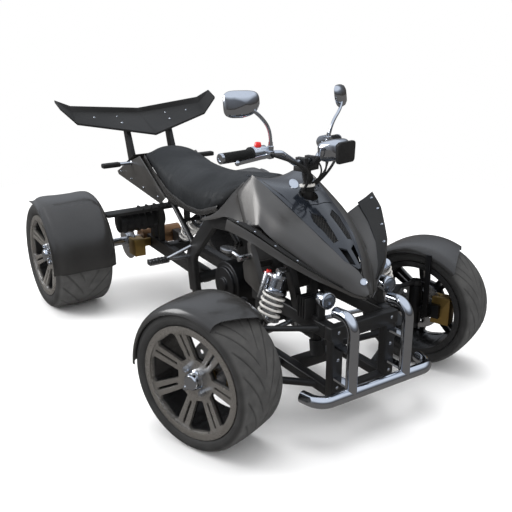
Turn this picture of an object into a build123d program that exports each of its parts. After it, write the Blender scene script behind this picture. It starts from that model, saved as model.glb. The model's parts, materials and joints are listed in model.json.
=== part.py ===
from build123d import *
import os
from math import cos, hypot, radians, sin

# Electric quad bike, millimetres. Forward is -Y, the rider's left is +X, up is +Z.
# Pieces are laid out from a point on the ground behind the front axle, and moved at the end so that
# the origin is the middle of the footprint.

# Running gear
WHEELBASE = 1390
FRONT_Y = -695
FRONT_TRACK = 1040
REAR_TRACK = 985
FRONT_TYRE_R = 239.5
FRONT_TYRE_W = 205
REAR_TYRE_R = 259
REAR_TYRE_W = 270
FRONT_SIDEWALL = 61.5
REAR_SIDEWALL = 81
RIM_LIP_H = 15
RIM_WALL = 7
RIM_LIP_T = 6
FRONT_RIM_W = 190
REAR_RIM_W = 252
RIM_DISH = 28
FACE_T = 20
HUB_FACE_R = 64
SPOKES = 7
SPOKE_W = 38
SPOKE_FLARE = 54
SPOKE_SLOT_W = 9
WINDOW_EDGE = 4
WINDOW_CORNER = 11
BEAD_GAP = 0.2

# Steering
KINGPIN_INSET = 75
STEER_AT_REST = 20
STEER_ARM = 80
COLUMN_R = 17
COLUMN_TOP = (0, -549, 835)
COLUMN_FOOT = (0, -636, 205)
COLUMN_BORE_GAP = 0.5
ROD_PIN_R = 7
ROD_EYE_R = 16
ROD_EYE_LOW = 19
ROD_EYE_H = 18

# Suspension
BALL_TOP_LIFT = 105.5
BALL_LOW_DROP = 74.5
BALL_PIN_R = 8
BALL_EYE_R = 20
BALL_EYE_H = 20
BALL_GAP = 1.0
ARM_NECK = 90
DISC_T = 5
CALIPER_INSET = 28
FRONT_DISC_R = 98
REAR_DISC_R = 95
REAR_DISC_X = -180
SPINDLE_R = 15
SPINDLE_GAP = 0.4
AXLE_R = 20
AXLE_GAP = 0.5

# Frame
SPAR_X = 134
SPAR_T = 28
SPAR_W = 64
RAIL_X = 130
RAIL_W = 40
RAIL_H = 50
RAIL_TOP = 370
BULKHEAD_Y = -882
BULKHEAD_D = 36
LEG_X = 118
LEG_W = 45
LOW_RAIL = 36
LOW_RAIL_Z = 118
SEAT_RAIL_X = 105
SEAT_RAIL_R = 14

# Bodywork
SHELL = 5
FENDER_T = 5
FENDER_GAP = 23
FRONT_STAY_INSET = 42
REAR_WALL_GAP = 10
WING_T = 10
BUMPER_R = 21
BUMPER_Y = -975

REAR_Y = FRONT_Y + WHEELBASE
KINGPIN_X = FRONT_TRACK / 2 - KINGPIN_INSET
FRONT_SEAT_R = FRONT_TYRE_R - FRONT_SIDEWALL
REAR_SEAT_R = REAR_TYRE_R - REAR_SIDEWALL
FRONT_FENDER_R = FRONT_TYRE_R + FENDER_GAP
REAR_FENDER_R = REAR_TYRE_R + FENDER_GAP
BALL_TOP_Z = FRONT_TYRE_R + BALL_TOP_LIFT
BALL_LOW_Z = FRONT_TYRE_R - BALL_LOW_DROP
FOOTPRINT_MID_Y = (BUMPER_Y - BUMPER_R + REAR_Y + REAR_TYRE_R) / 2
FIT_GAP = 0.3
UPRIGHT_Y = -440
SPAR_FOOT_Y = 62
SPAR_FOOT_Z = 182
SPAR_PATH = [(-500, 600), (-110, 552), (90, 345), (SPAR_FOOT_Y - 2, SPAR_FOOT_Z - 12)]
SPAR_BEND_R = 70
HEAD_LOW = 596
HEAD_HIGH = 688
COLUMN_END = 172
FOOT_BEARING_TOP = 190
SEAT_RAIL_FRONT = (-140, 552)
SEAT_RAIL_BACK = (700, 640)
STRUT_LOW = (85, 352)
STAY_LEAD = 155
STAY = (REAR_Y - STAY_LEAD, REAR_TYRE_R + 193)
STRUT_HIGH_Y = STAY[0] - 110
STRUT_R = 12
TAIL_CROSS_Y = (470, 690)

# Power and rear suspension
MOTOR_Y = -235
MOTOR_Z = 315
MOTOR_R = 92
MOTOR_HALF = 150
BATTERY_FRONT = -550
BATTERY_BACK = -385
BATTERY_TOP = 566
SWING_PIVOT = (62, 240)
SWING_X = 72
SWING_W = 36
SWING_H = 58
CARRIER_R = 46
REAR_DAMPER_TOP_Y = STRUT_LOW[0] + (STRUT_HIGH_Y - STRUT_LOW[0]) * 0.42
SWING_SHARE = 0.613
DAMPER_ABOVE_ARM = 48
REAR_DAMPER_LOW = (SWING_PIVOT[0] + (REAR_Y - SWING_PIVOT[0]) * SWING_SHARE,
                   SWING_PIVOT[1] + (REAR_TYRE_R - SWING_PIVOT[1]) * SWING_SHARE + DAMPER_ABOVE_ARM)
DAMPER_EYE_R = 12
DAMPER_EYE_W = 14
DAMPER_BAR_R = 8
SPRING_WIRE = 8
SPRING_SEAT_T = 6
REAR_MOTOR = (-262, -31, REAR_Y - 95, REAR_TYRE_R + 127, 50)
FRONT_DAMPER_TOP = (215, FRONT_Y - 10, 527)
FRONT_DAMPER_LOW = (325, FRONT_Y, BALL_LOW_Z + 25)
# body radius, rod radius, coil radius, share of the body, share at the upper and lower spring seats
FRONT_DAMPER = (24, 8, 37, 0.42, 0.2, 0.47)
REAR_DAMPER = (19, 8, 30, 0.5, 0.16, 0.8)
FRONT_TURNS = 4
REAR_TURNS = 5
RESERVOIR_OFFSET = 63
RESERVOIR_R = 16
RESERVOIR_L = 96
UPPER_ARM_Z = 345
UPPER_ARM_Y = (FRONT_Y - 130, FRONT_Y + 130)
LOWER_ARM_Z = 122
LOWER_ARM_Y = (FRONT_Y - 105, FRONT_Y + 95)

# Hood edge, shoulder, crease and flange are (x, z); skirt is how far out and down it turns
FAIRING_STATIONS = [
    # y, hood edge, shoulder, crease, flange, skirt
    (-338, (122, 780), (160, 735), (205, 640), (215, 642), (4, 14)),
    (-385, (122, 786), (163, 735), (206, 644), (216, 647), (4, 14)),
    (-430, (117, 766), (165, 730), (208, 648), (218, 652), (4, 14)),
    (-525, (104, 731), (161, 697), (202, 636), (212, 640), (4, 14)),
    (-545, (102, 722), (160, 690), (200, 632), (330, 690), (8, 30)),
    (-640, (88, 675), (142, 645), (172, 590), (290, 658), (8, 26)),
    (-740, (68, 622), (112, 592), (138, 548), (228, 594), (6, 22)),
    (-820, (38, 563), (74, 538), (94, 502), (150, 532), (5, 16)),
    (-860, (4, 536), (36, 513), (60, 476), (84, 490), (3, 12)),
    (-888, (0.4, 500), (22, 484), (38, 461), (50, 465), (2, 8)),
    (-912, (0.4, 472), (8, 466), (13, 458), (17, 454), (1, 5)),
]
# Side view of the line where the fairing ends and the side panel begins
FAIRING_BACK = [(-365, 800), (-341, 719), (-456, 626), (-456, 540)]
HOOD_CROWN = [-26, -22, -8, 24, 27, 26, 18, 11, 2]
HOOD_COLUMN_GAP = 14
GRILLE_OUTLINE = [(16, -672), (46, -645), (58, -672), (40, -766), (20, -766)]
MOUTH_OUTLINE = [(9, -798), (34, -782), (24, -836), (8, -846)]
GRILLE_T = 3
GRILLE_LAP = 4
WINGLET_BACK = -545
WINGLET_FRONT = -820
WINGLET_T = 4
# y, top, half width of the top, lower edge of the side, half width, underside (0 is on the rails)
SEAT_STATIONS = [
    (625, 735, 60, 700, 105, 0),
    (560, 756, 85, 690, 130, 0),
    (430, 738, 100, 640, 146, 0),
    (270, 708, 104, 570, 149, 0),
    (70, 708, 100, 550, 164, 0),
    (-50, 724, 94, 556, 168, 600),
    (-190, 746, 84, 606, 166, 612),
    (-286, 762, 76, 706, 146, 660),
    (-335, 770, 66, 757, 128, 690),
]
SEAT_SKIRT = 16
SIDE_PANEL_STATIONS = [
    # y, top, middle, low
    (-456, (166, 716), (190, 668), (206, 645)),
    (-385, (150, 750), (178, 702), (206, 644)),
    (-338, (134, 756), (168, 718), (203, 634)),
    (-286, (148, 702), (170, 672), (192, 618)),
    (-192, (169, 600), (174, 594), (178, 581)),
    (-75, (171, 553), (173, 551), (175, 545)),
]
BRACKET_Y = -480
GUARD_X = 190
GUARD_T = 16
GUARD = [(-470, 592), (-497, 590), (-582, 412), (-545, 372), (-440, 400), (-425, 470), (-478, 520)]
GUARD_MID = (-500, 480)
TAIL_PANEL_X = 150
TAIL_PANEL = [(292, 562), (556, 709), (700, 655), (835, 590), (820, 575), (346, 523)]
TAIL_BOSS_Y = 430
TAIL_PLATE = [(640, 704), (835, 592)]
TAIL_PLATE_T = 8
SIGNAL = (654, 661)
# x, front edge, fold, top of the lip, each (y, z)
WING_STATIONS = [
    (0, (684, 778), (886, 860), (890, 893)),
    (353, (817, 841), (891, 886), (903, 925)),
    (428, (832, 918), (905, 945), (909, 957)),
]
WING_POST_X = 114
WING_POST = [(728, 652), (792, 835)]
WING_POST_T = 22
BUMPER_LOW_Z = 158
BUMPER_HALF = 246
BUMPER_UP_X = 120
BUMPER_TOP_Z = 425
BUMPER_TABS = (180, 300)
LAMP = (135, -846, 453)
LAMP_R = 28
PEG = (128, 332)
PEG_ROOT = 92
PEDAL = (240, -401, 519)
PEDAL_PIVOT_Y = -490

# Handlebar, straight ahead
BAR_POINTS = [(70, -549, 853), (140, -535, 893), (230, -487, 896), (365, -457, 890)]
BAR_R = 11
BAR_BEND_R = 25
GRIP_L = 125
GRIP_R = 17
GRIP_CAP = 6
GRIP_FLANGE = 7
MIRROR_FOOT = (187, -523, 912)
MIRROR_STALK = [(191, -528, 969), (259, -530, 1028)]
MIRROR = (306, -488, 1063)
MIRROR_YAW = 19
MIRROR_W = 138
MIRROR_H = 88
POD = (0, -663, 903)
POD_SIZE = (106, 100, 70)
POD_PANEL_T = 14
CABLE_R = 5
CABLE_END_Z = 754
ROD_PIN_DRIFT = 3.0

BASE = (Align.CENTER, Align.CENTER, Align.MIN)
SIDES = (1, -1)


def rod(start, end, radius):
    run = Vector(*end) - Vector(*start)
    return Plane(origin=start, z_dir=run) * Cylinder(radius, run.length, align=BASE)


def beam(start, end, width, height):
    """Straight box section: width is level, height lies in the upright plane of its run."""
    run = Vector(*end) - Vector(*start)
    level = Vector(1, 0, 0) if hypot(run.X, run.Y) < 1 else run.cross(Vector(0, 0, 1))
    return Plane(origin=start, x_dir=level, z_dir=run) * Box(width, height, run.length, align=BASE)


def bent_tube(points, bend_radius, radius):
    path = FilletPolyline(*points, radius=bend_radius)
    return sweep(Plane(origin=path @ 0, z_dir=path % 0) * Circle(radius), path=path)


def block(low, high):
    size = [b - a for a, b in zip(low, high)]
    middle = [(a + b) / 2 for a, b in zip(low, high)]
    return Pos(*middle) * Box(*size)


def plate_x(outline, x_low, x_high):
    """Flat plate of a (y, z) outline between two values of x."""
    face = make_face(Polyline(*[(x_low, y, z) for y, z in outline], close=True))
    return extrude(face, amount=x_high - x_low, dir=(1, 0, 0))


def section(y, outline):
    """Closed (x, z) outline standing at one y."""
    return make_face(Polyline(*[(x, y, z) for x, z in outline], close=True))


def station_x(x, outline):
    """Closed (y, z) outline standing at one x."""
    return make_face(Polyline(*[(x, y, z) for y, z in outline], close=True))


def lathe(profile, arc=360.0, start=0.0):
    """Turns an (x, r) outline about the X axis; start is the angle from -Y towards +Z."""
    points = [(x, -r * cos(radians(start)), r * sin(radians(start))) for x, r in profile]
    return revolve(make_face(Polyline(*points, close=True)), axis=Axis.X.reverse(), revolution_arc=arc)


def both(shape):
    return [shape, mirror(shape, about=Plane.YZ)]


def side(shape, sign):
    return shape if sign > 0 else mirror(shape, about=Plane.YZ)


def fused(pieces):
    first, *rest = pieces
    for piece in rest:
        first = first + piece
    return first


def steered(shape, sign):
    """Turns a piece of the front corner on one side about its kingpin, to the pose at rest."""
    return shape.rotate(Axis((sign * KINGPIN_X, FRONT_Y, 0), (0, 0, 1)), STEER_AT_REST)


def column_axis():
    return Axis(COLUMN_FOOT, Vector(*COLUMN_TOP) - Vector(*COLUMN_FOOT))


def with_bars(shape):
    """Turns a piece of the handlebar about the steering column, to the pose at rest."""
    return shape.rotate(column_axis(), STEER_AT_REST)


def turned_point(point, axis):
    """Where a point goes when its body turns from straight ahead to the pose at rest."""
    return axis.position + (point - axis.position).rotate(axis, STEER_AT_REST)


def column_at(z):
    share = (z - COLUMN_FOOT[2]) / (COLUMN_TOP[2] - COLUMN_FOOT[2])
    return tuple(a + (b - a) * share for a, b in zip(COLUMN_FOOT, COLUMN_TOP))


# Wheels


def tyre(radius, width, rim_width, seat_r):
    bead = rim_width / 2 - RIM_LIP_T - BEAD_GAP
    seat = seat_r + BEAD_GAP
    lip = seat_r + RIM_LIP_H + 1
    wall = lip + (radius - lip) * 0.4
    shoulder = width / 2 * 0.84
    outline = [
        Line((-bead, -seat), (-bead, -lip)),
        ThreePointArc((-bead, -lip), (-width / 2, -wall), (-shoulder, -radius + 4)),
        ThreePointArc((-shoulder, -radius + 4), (0, -radius), (shoulder, -radius + 4)),
        ThreePointArc((shoulder, -radius + 4), (width / 2, -wall), (bead, -lip)),
        Line((bead, -lip), (bead, -seat)),
        Line((bead, -seat), (-bead, -seat)),
    ]
    return revolve(make_face(outline), axis=Axis.X)


def rim(width, seat_r):
    """Barrel with two lips and a dished face of slotted spokes; the face looks along +X."""
    half = width / 2
    inner = seat_r - RIM_WALL
    lip = seat_r + RIM_LIP_H
    barrel = lathe([
        (-half, inner), (half, inner), (half, lip), (half - RIM_LIP_T, lip), (half - RIM_LIP_T, seat_r),
        (RIM_LIP_T - half, seat_r), (RIM_LIP_T - half, lip), (-half, lip),
    ])
    rim_face = half - RIM_LIP_T
    hub_face = rim_face - RIM_DISH
    face = lathe([
        (hub_face - FACE_T, SPINDLE_R + 12), (hub_face, SPINDLE_R + 12), (hub_face, HUB_FACE_R),
        (rim_face, inner + 1), (rim_face - FACE_T, inner + 1), (hub_face - FACE_T, HUB_FACE_R),
    ])
    step = 360 / SPOKES
    low = HUB_FACE_R + 8
    high = inner - WINDOW_EDGE
    gap_low = low * radians(step) - SPOKE_W
    gap_high = high * radians(step) - SPOKE_FLARE
    window = make_face(Polyline(
        (low, -gap_low / 2), (high - WINDOW_CORNER, -gap_high / 2), (high, WINDOW_CORNER - gap_high / 2),
        (high, gap_high / 2 - WINDOW_CORNER), (high - WINDOW_CORNER, gap_high / 2), (low, gap_low / 2),
        close=True))
    slot = Pos((low + high) / 2 + 4, 0) * SlotOverall(high - low - 12, SPOKE_SLOT_W)
    cutter = Plane.YZ.offset(-half) * extrude(window, amount=width)
    groove = Plane.YZ.offset(-half) * extrude(slot, amount=width)
    cuts = []
    for turn in range(SPOKES):
        cuts.append(cutter.rotate(Axis.X, turn * step))
        cuts.append(groove.rotate(Axis.X, (turn + 0.5) * step))
    return barrel + (face - cuts)


def hub_seat(rim_width):
    return rim_width / 2 - RIM_LIP_T - RIM_DISH - FACE_T


def wheel_nuts(rim_width):
    face = hub_seat(rim_width) + FACE_T
    pieces = [rod((hub_seat(rim_width) - 12, 0, 0), (face + 26, 0, 0), SPINDLE_R + 11)]
    for turn in range(4):
        at = 45 + 90 * turn
        y, z = 46 * cos(radians(at)), 46 * sin(radians(at))
        pieces.append(rod((face, y, z), (face + 12, y, z), 8))
    return pieces


def front_hub():
    """Hub, brake disc, cap and wheel nuts; bored for the spindle."""
    seat = hub_seat(FRONT_RIM_W)
    disc_x = KINGPIN_INSET / 2 + DISC_T
    pieces = wheel_nuts(FRONT_RIM_W)
    pieces.append(rod((seat - 12, 0, 0), (seat, 0, 0), HUB_FACE_R - 2))
    pieces.append(rod((-disc_x, 0, 0), (seat - 12, 0, 0), SPINDLE_R + 17))
    pieces.append(rod((-disc_x, 0, 0), (-disc_x + DISC_T, 0, 0), FRONT_DISC_R))
    bore = rod((-disc_x - 1, 0, 0), (seat, 0, 0), SPINDLE_R + SPINDLE_GAP)
    hub = fused(pieces) - bore
    for turn in range(10):
        at = radians(36 * turn)
        y, z = 72 * cos(at), 72 * sin(at)
        hub = hub - rod((-disc_x - 1, y, z), (-disc_x + DISC_T + 1, y, z), 8)
    return hub


def front_centre(sign):
    return Pos(sign * FRONT_TRACK / 2, FRONT_Y, FRONT_TYRE_R)


def front_wheel_piece(shape, sign):
    return steered(front_centre(sign) * side(shape, sign), sign)


def rear_centre(sign):
    return Pos(sign * REAR_TRACK / 2, REAR_Y, REAR_TYRE_R)


def rear_wheel_pieces(shape):
    return [rear_centre(sign) * side(shape, sign) for sign in SIDES]


def rear_axle():
    """Live axle with both wheel hubs and the brake disc."""
    seat_x = REAR_TRACK / 2 + hub_seat(REAR_RIM_W)
    pieces = [rod((-seat_x, REAR_Y, REAR_TYRE_R), (seat_x, REAR_Y, REAR_TYRE_R), AXLE_R)]
    for sign in SIDES:
        pieces.append(rod((sign * (seat_x - 40), REAR_Y, REAR_TYRE_R),
                          (sign * (seat_x - 12), REAR_Y, REAR_TYRE_R), SPINDLE_R + 17))
        pieces.append(rod((sign * (seat_x - 12), REAR_Y, REAR_TYRE_R),
                          (sign * seat_x, REAR_Y, REAR_TYRE_R), HUB_FACE_R - 2))
        pieces += [rear_centre(sign) * side(nut, sign) for nut in wheel_nuts(REAR_RIM_W)]
    pieces.append(rod((REAR_DISC_X, REAR_Y, REAR_TYRE_R),
                      (REAR_DISC_X + DISC_T, REAR_Y, REAR_TYRE_R), REAR_DISC_R))
    pieces.append(rod((REAR_DISC_X - 14, REAR_Y, REAR_TYRE_R),
                      (REAR_DISC_X, REAR_Y, REAR_TYRE_R), AXLE_R + 18))
    return fused(pieces)


# Front corners, drawn on the left side with the wheel straight


def knuckle():
    x, y = KINGPIN_X, FRONT_Y
    low = BALL_LOW_Z + BALL_EYE_H / 2 + BALL_GAP
    top = BALL_TOP_Z - BALL_EYE_H / 2 - BALL_GAP
    hub_reach = FRONT_TRACK / 2 + hub_seat(FRONT_RIM_W) - 6
    arm_z = FRONT_TYRE_R - 25
    stay_x = x - FRONT_STAY_INSET
    pieces = [
        rod((x, y, low), (x, y, top), 24),
        rod((x, y, low - BALL_EYE_H - 2 * BALL_GAP), (x, y, low), BALL_PIN_R),
        rod((x, y, top), (x, y, top + BALL_EYE_H + 2 * BALL_GAP), BALL_PIN_R),
        rod((x, y, FRONT_TYRE_R), (hub_reach, y, FRONT_TYRE_R), SPINDLE_R),
        beam((x, y, arm_z), (x, y + STEER_ARM + 12, arm_z), 24, 14),
        block((stay_x - 4, y - 74, FRONT_TYRE_R - 12), (x, y - 50, FRONT_TYRE_R + 8)),
        block((x - 12, y - 60, FRONT_TYRE_R - 12), (x + 12, y, FRONT_TYRE_R + 8)),
        block((x - 10, y - 104, FRONT_TYRE_R - 24), (x + 8, y - 50, FRONT_TYRE_R + 30)),
    ]
    pieces.append(rod((x, y + STEER_ARM, arm_z), (x, y + STEER_ARM, FRONT_TYRE_R + 8), ROD_PIN_R))
    return fused(pieces)


def front_caliper():
    """Two halves over the leading edge of the disc, joined outside it."""
    x = FRONT_TRACK / 2 - KINGPIN_INSET / 2 - DISC_T / 2
    y = FRONT_Y
    body = block((x - 26, y - 140, FRONT_TYRE_R - 52), (x + 26, y - 66, FRONT_TYRE_R + 58))
    slot = rod((x - 8, y, FRONT_TYRE_R), (x + 8, y, FRONT_TYRE_R), FRONT_DISC_R + 8)
    bridge = block((x - 14, y - 122, FRONT_TYRE_R - 18), (x + 14, y - 120, FRONT_TYRE_R + 24))
    mount = block((KINGPIN_X - 10.2, y - 104.2, FRONT_TYRE_R - 24.2),
                  (KINGPIN_X + 8.2, y - 50, FRONT_TYRE_R + 30.2))
    cheeks = (x - 60, x + 60)
    trim = rod((cheeks[0], y, FRONT_TYRE_R), (cheeks[1], y, FRONT_TYRE_R), FRONT_SEAT_R - CALIPER_INSET)
    return (body & trim) - slot - bridge - mount


def front_fender():
    """Rolled mudguard over the tyre, from ahead of the top back to axle height."""
    r = FRONT_FENDER_R
    half = FRONT_TYRE_W / 2
    outer = [(-half - 10, r - 26), (-half - 4, r - 12), (-half + 26, r), (half - 26, r), (half - 6, r - 8),
             (half + 2, r - 20)]
    inner = [(x * (1 - FENDER_T / half), z - FENDER_T) for x, z in reversed(outer)]
    inner[0] = (half + 2 - FENDER_T, r - 20)
    inner[-1] = (FENDER_T - half - 10, r - 26)
    shell = lathe(outer + inner, arc=132, start=48)
    ahead = Polyline((-half - 20, -r), (-half - 20, -r * cos(radians(50))),
                     (half + 20, -r * cos(radians(61))), (half + 20, -r), close=True)
    return front_centre(1) * (shell - extrude(make_face(ahead), amount=r))


def front_stay():
    """Flat stay from the knuckle up the inside of the tyre to the mudguard's rolled edge."""
    stay_x = KINGPIN_X - FRONT_STAY_INSET
    return block((stay_x - 4, FRONT_Y - 72, FRONT_TYRE_R + 8),
                 (stay_x + 4, FRONT_Y - 52, FRONT_TYRE_R + FRONT_FENDER_R - 22))


def wishbone(z_outer, z_inner, inner_x, y_front, y_back, radius):
    """Two legs from the frame to a neck and a ball joint eye on the kingpin."""
    joint = (KINGPIN_X, FRONT_Y, z_outer)
    neck = (KINGPIN_X - ARM_NECK, FRONT_Y, z_outer)
    eye = Pos(*joint) * Cylinder(BALL_EYE_R, BALL_EYE_H)
    pieces = [eye, rod(neck, joint, BALL_EYE_H / 2 - 1), Pos(*neck) * Sphere(radius)]
    for y in (y_front, y_back):
        start = Vector(*neck) + (Vector(inner_x, y, z_inner) - Vector(*neck)) * 1.1
        pieces.append(rod(tuple(start), neck, radius))
    bore = Pos(*joint) * Cylinder(BALL_PIN_R + BALL_GAP / 2, BALL_EYE_H * 3)
    frame = block((0, y_front - 100, 0), (inner_x, y_back + 100, z_outer + 100))
    return fused(pieces) - bore - frame


# Frame


def bulkhead():
    """Upright ring of box section behind the bumper."""
    y_low, y_high = BULKHEAD_Y - BULKHEAD_D / 2, BULKHEAD_Y + BULKHEAD_D / 2
    foot = LOW_RAIL_Z - LOW_RAIL / 2
    half = RAIL_X + RAIL_W / 2
    pieces = [
        block((-half, y_low, RAIL_TOP - RAIL_H), (half, y_high, RAIL_TOP)),
        block((-LEG_X - LEG_W / 2, y_low, foot), (LEG_X + LEG_W / 2, y_high, foot + LOW_RAIL)),
    ]
    for sign in SIDES:
        pieces.append(block((sign * LEG_X - LEG_W / 2, y_low, foot),
                            (sign * LEG_X + LEG_W / 2, y_high, RAIL_TOP - RAIL_H)))
    return fused(pieces)


def upper_rail():
    y_front = BULKHEAD_Y + BULKHEAD_D / 2
    return block((RAIL_X - RAIL_W / 2, y_front, RAIL_TOP - RAIL_H),
                 (RAIL_X + RAIL_W / 2, UPRIGHT_Y + RAIL_W / 2, RAIL_TOP))


def lower_rail():
    y_front = BULKHEAD_Y + BULKHEAD_D / 2
    low, high = LOW_RAIL_Z - LOW_RAIL / 2, LOW_RAIL_Z + LOW_RAIL / 2
    top = SPAR_FOOT_Z - FIT_GAP
    outline = [(y_front, low), (UPRIGHT_Y, low), (SPAR_FOOT_Y + SPAR_W / 2, top - LOW_RAIL),
               (SPAR_FOOT_Y + SPAR_W / 2, top), (SPAR_FOOT_Y - SPAR_W / 2 - 12, top), (UPRIGHT_Y, high),
               (y_front, high)]
    return plate_x(outline, LEG_X - LOW_RAIL / 2, LEG_X + LOW_RAIL / 2)


def frame_upright():
    return block((RAIL_X - RAIL_W / 2, UPRIGHT_Y - RAIL_W / 2, LOW_RAIL_Z + LOW_RAIL / 2),
                 (LEG_X + LOW_RAIL / 2, UPRIGHT_Y - RAIL_W / 2 + LOW_RAIL, RAIL_TOP - RAIL_H))


def spar():
    """Wide flat band from the head, under the seat and down to the lower rail."""
    path = FilletPolyline(*[(SPAR_X, y, z) for y, z in SPAR_PATH], radius=SPAR_BEND_R)
    start = Plane(origin=path @ 0, x_dir=(1, 0, 0), z_dir=path % 0)
    band = sweep(start * Rectangle(SPAR_T, SPAR_W), path=path)
    return band - block((0, SPAR_FOOT_Y - SPAR_W, 0), (SPAR_X * 2, SPAR_FOOT_Y + SPAR_W, SPAR_FOOT_Z))


def head_tube():
    """Steering head on a cross beam between the spars."""
    reach = SPAR_X - SPAR_T / 2 - FIT_GAP
    y, z = SPAR_PATH[0]
    low, high = column_at(HEAD_LOW), column_at(HEAD_HIGH)
    beam_low = z - SPAR_W / 2 + 6
    pieces = [
        block((-reach, y, beam_low), (reach, y + 50, z + SPAR_W / 2 - 6)),
        block((-26, low[1], beam_low), (26, y, z + SPAR_W / 2 - 6)),
        rod(low, high, COLUMN_R + 13),
    ]
    bore = rod(column_at(HEAD_LOW - 50), column_at(HEAD_HIGH + 50), COLUMN_R + COLUMN_BORE_GAP)
    return fused(pieces) - bore


def cross_members():
    """Foot bearing of the column, motor cradle and the upper eye of the rear damper."""
    reach = LEG_X - LOW_RAIL / 2 - FIT_GAP
    foot = column_at(COLUMN_FOOT[2])
    low, high = LOW_RAIL_Z - LOW_RAIL / 2, LOW_RAIL_Z + LOW_RAIL / 2
    bearing = block((-reach, foot[1] - 25, low), (reach, foot[1] + 25, high))
    bearing = bearing + rod(column_at(high - 4), column_at(FOOT_BEARING_TOP), COLUMN_R + 12)
    bore = rod(column_at(COLUMN_END - 2), column_at(FOOT_BEARING_TOP + 20), COLUMN_R + COLUMN_BORE_GAP)
    bearing = bearing - bore
    cradle = block((-reach, MOTOR_Y - 60, low + 20), (reach, MOTOR_Y + 60, MOTOR_Z - MOTOR_R * 0.55))
    cradle = cradle - rod((-reach - 1, MOTOR_Y, MOTOR_Z), (reach + 1, MOTOR_Y, MOTOR_Z), MOTOR_R + FIT_GAP)
    return [bearing, cradle, damper_bar(DAMPER_BAR_R)]


def damper_bar(radius):
    """Bar between the struts of the seat rails that carries the rear damper's upper eye."""
    reach = SEAT_RAIL_X - STRUT_R - FIT_GAP
    y, z = REAR_DAMPER_TOP_Y, strut_z(REAR_DAMPER_TOP_Y)
    return rod((-reach, y, z), (reach, y, z), radius)


def shock_tower():
    """Leaning post on the upper rail with the pin of the front damper's top eye."""
    x, y, z = FRONT_DAMPER_TOP
    pin_end = x - DAMPER_EYE_W - FIT_GAP
    post = beam((RAIL_X + 6, y, RAIL_TOP - 12), (pin_end - 20, y, z + 14), 40, 22)
    return post - block((0, y - 60, 0), (x, y + 60, RAIL_TOP)) + rod((pin_end - 26, y, z), (pin_end, y, z), 9)


def strut_z(y):
    (y0, z0), z1 = STRUT_LOW, rail_z(STRUT_HIGH_Y)
    return z0 + (z1 - z0) * (y - y0) / (STRUT_HIGH_Y - y0)


def seat_rail():
    """Tube under the seat with a stub out to the spar."""
    return rail_tube(SEAT_RAIL_R) + spar_stub(SEAT_RAIL_FRONT)


def rail_tube(radius):
    return rod((SEAT_RAIL_X, *SEAT_RAIL_FRONT), (SEAT_RAIL_X, *SEAT_RAIL_BACK), radius)


def spar_stub(place):
    return rod((SEAT_RAIL_X, *place), (SPAR_X - SPAR_T / 2 - FIT_GAP, *place), SEAT_RAIL_R)


def seat_strut():
    """Strut from the spar's bend up to the seat rail."""
    tube = rod((SEAT_RAIL_X, *STRUT_LOW), (SEAT_RAIL_X, STRUT_HIGH_Y, rail_z(STRUT_HIGH_Y)), STRUT_R)
    return tube - rail_tube(SEAT_RAIL_R + FIT_GAP) + spar_stub(STRUT_LOW)


def rail_z(y):
    (y0, z0), (y1, z1) = SEAT_RAIL_FRONT, SEAT_RAIL_BACK
    return z0 + (z1 - z0) * (y - y0) / (y1 - y0)


def tail_cross():
    """Cross tubes between the seat rails, for the wing posts and tail plate."""
    reach = SEAT_RAIL_X - SEAT_RAIL_R - FIT_GAP
    return [rod((-reach, y, rail_z(y)), (reach, y, rail_z(y)), SEAT_RAIL_R - 2) for y in TAIL_CROSS_Y]


# Power and rear suspension


def motor():
    x_low, x_high = -MOTOR_HALF, MOTOR_HALF
    pieces = [
        rod((x_low, MOTOR_Y, MOTOR_Z), (x_high, MOTOR_Y, MOTOR_Z), MOTOR_R),
        rod((x_low - 14, MOTOR_Y, MOTOR_Z), (x_high + 14, MOTOR_Y, MOTOR_Z), MOTOR_R * 0.78),
        rod((x_low - 24, MOTOR_Y, MOTOR_Z), (x_high + 24, MOTOR_Y, MOTOR_Z), MOTOR_R * 0.32),
    ]
    return fused(pieces)


def battery_box():
    half = SPAR_X - SPAR_T / 2 - 2
    return block((-half, BATTERY_FRONT, RAIL_TOP), (half, BATTERY_BACK, BATTERY_TOP))


def swing_beam(sign, grow):
    """One arm of the swingarm, from the pivot tube to the carrier."""
    end = REAR_Y - CARRIER_R + 6
    return beam((sign * SWING_X, *SWING_PIVOT), (sign * SWING_X, end, REAR_TYRE_R), SWING_W,
                SWING_H + 2 * grow)


def swingarm():
    """Two arms from a pivot tube between the spars to the axle carrier."""
    reach = SPAR_X - SPAR_T / 2 - FIT_GAP
    y, z = SWING_PIVOT
    pieces = [rod((-reach, y, z), (reach, y, z), 24)]
    seat_z = REAR_DAMPER_LOW[1] - DAMPER_EYE_R - FIT_GAP
    for sign in SIDES:
        pieces.append(swing_beam(sign, 0))
    pieces.append(block((-SWING_X, REAR_DAMPER_LOW[0] - 26, seat_z - 40),
                        (SWING_X, REAR_DAMPER_LOW[0] + 26, seat_z)))
    reach = SWING_X + 40
    carrier = rod((-reach, REAR_Y, REAR_TYRE_R), (reach, REAR_Y, REAR_TYRE_R), CARRIER_R + FIT_GAP)
    return fused(pieces) - carrier


def axle_carrier():
    x = SWING_X + 36
    body = rod((-x, REAR_Y, REAR_TYRE_R), (x, REAR_Y, REAR_TYRE_R), CARRIER_R)
    return body - rod((-x - 1, REAR_Y, REAR_TYRE_R), (x + 1, REAR_Y, REAR_TYRE_R), AXLE_R + AXLE_GAP)


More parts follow.
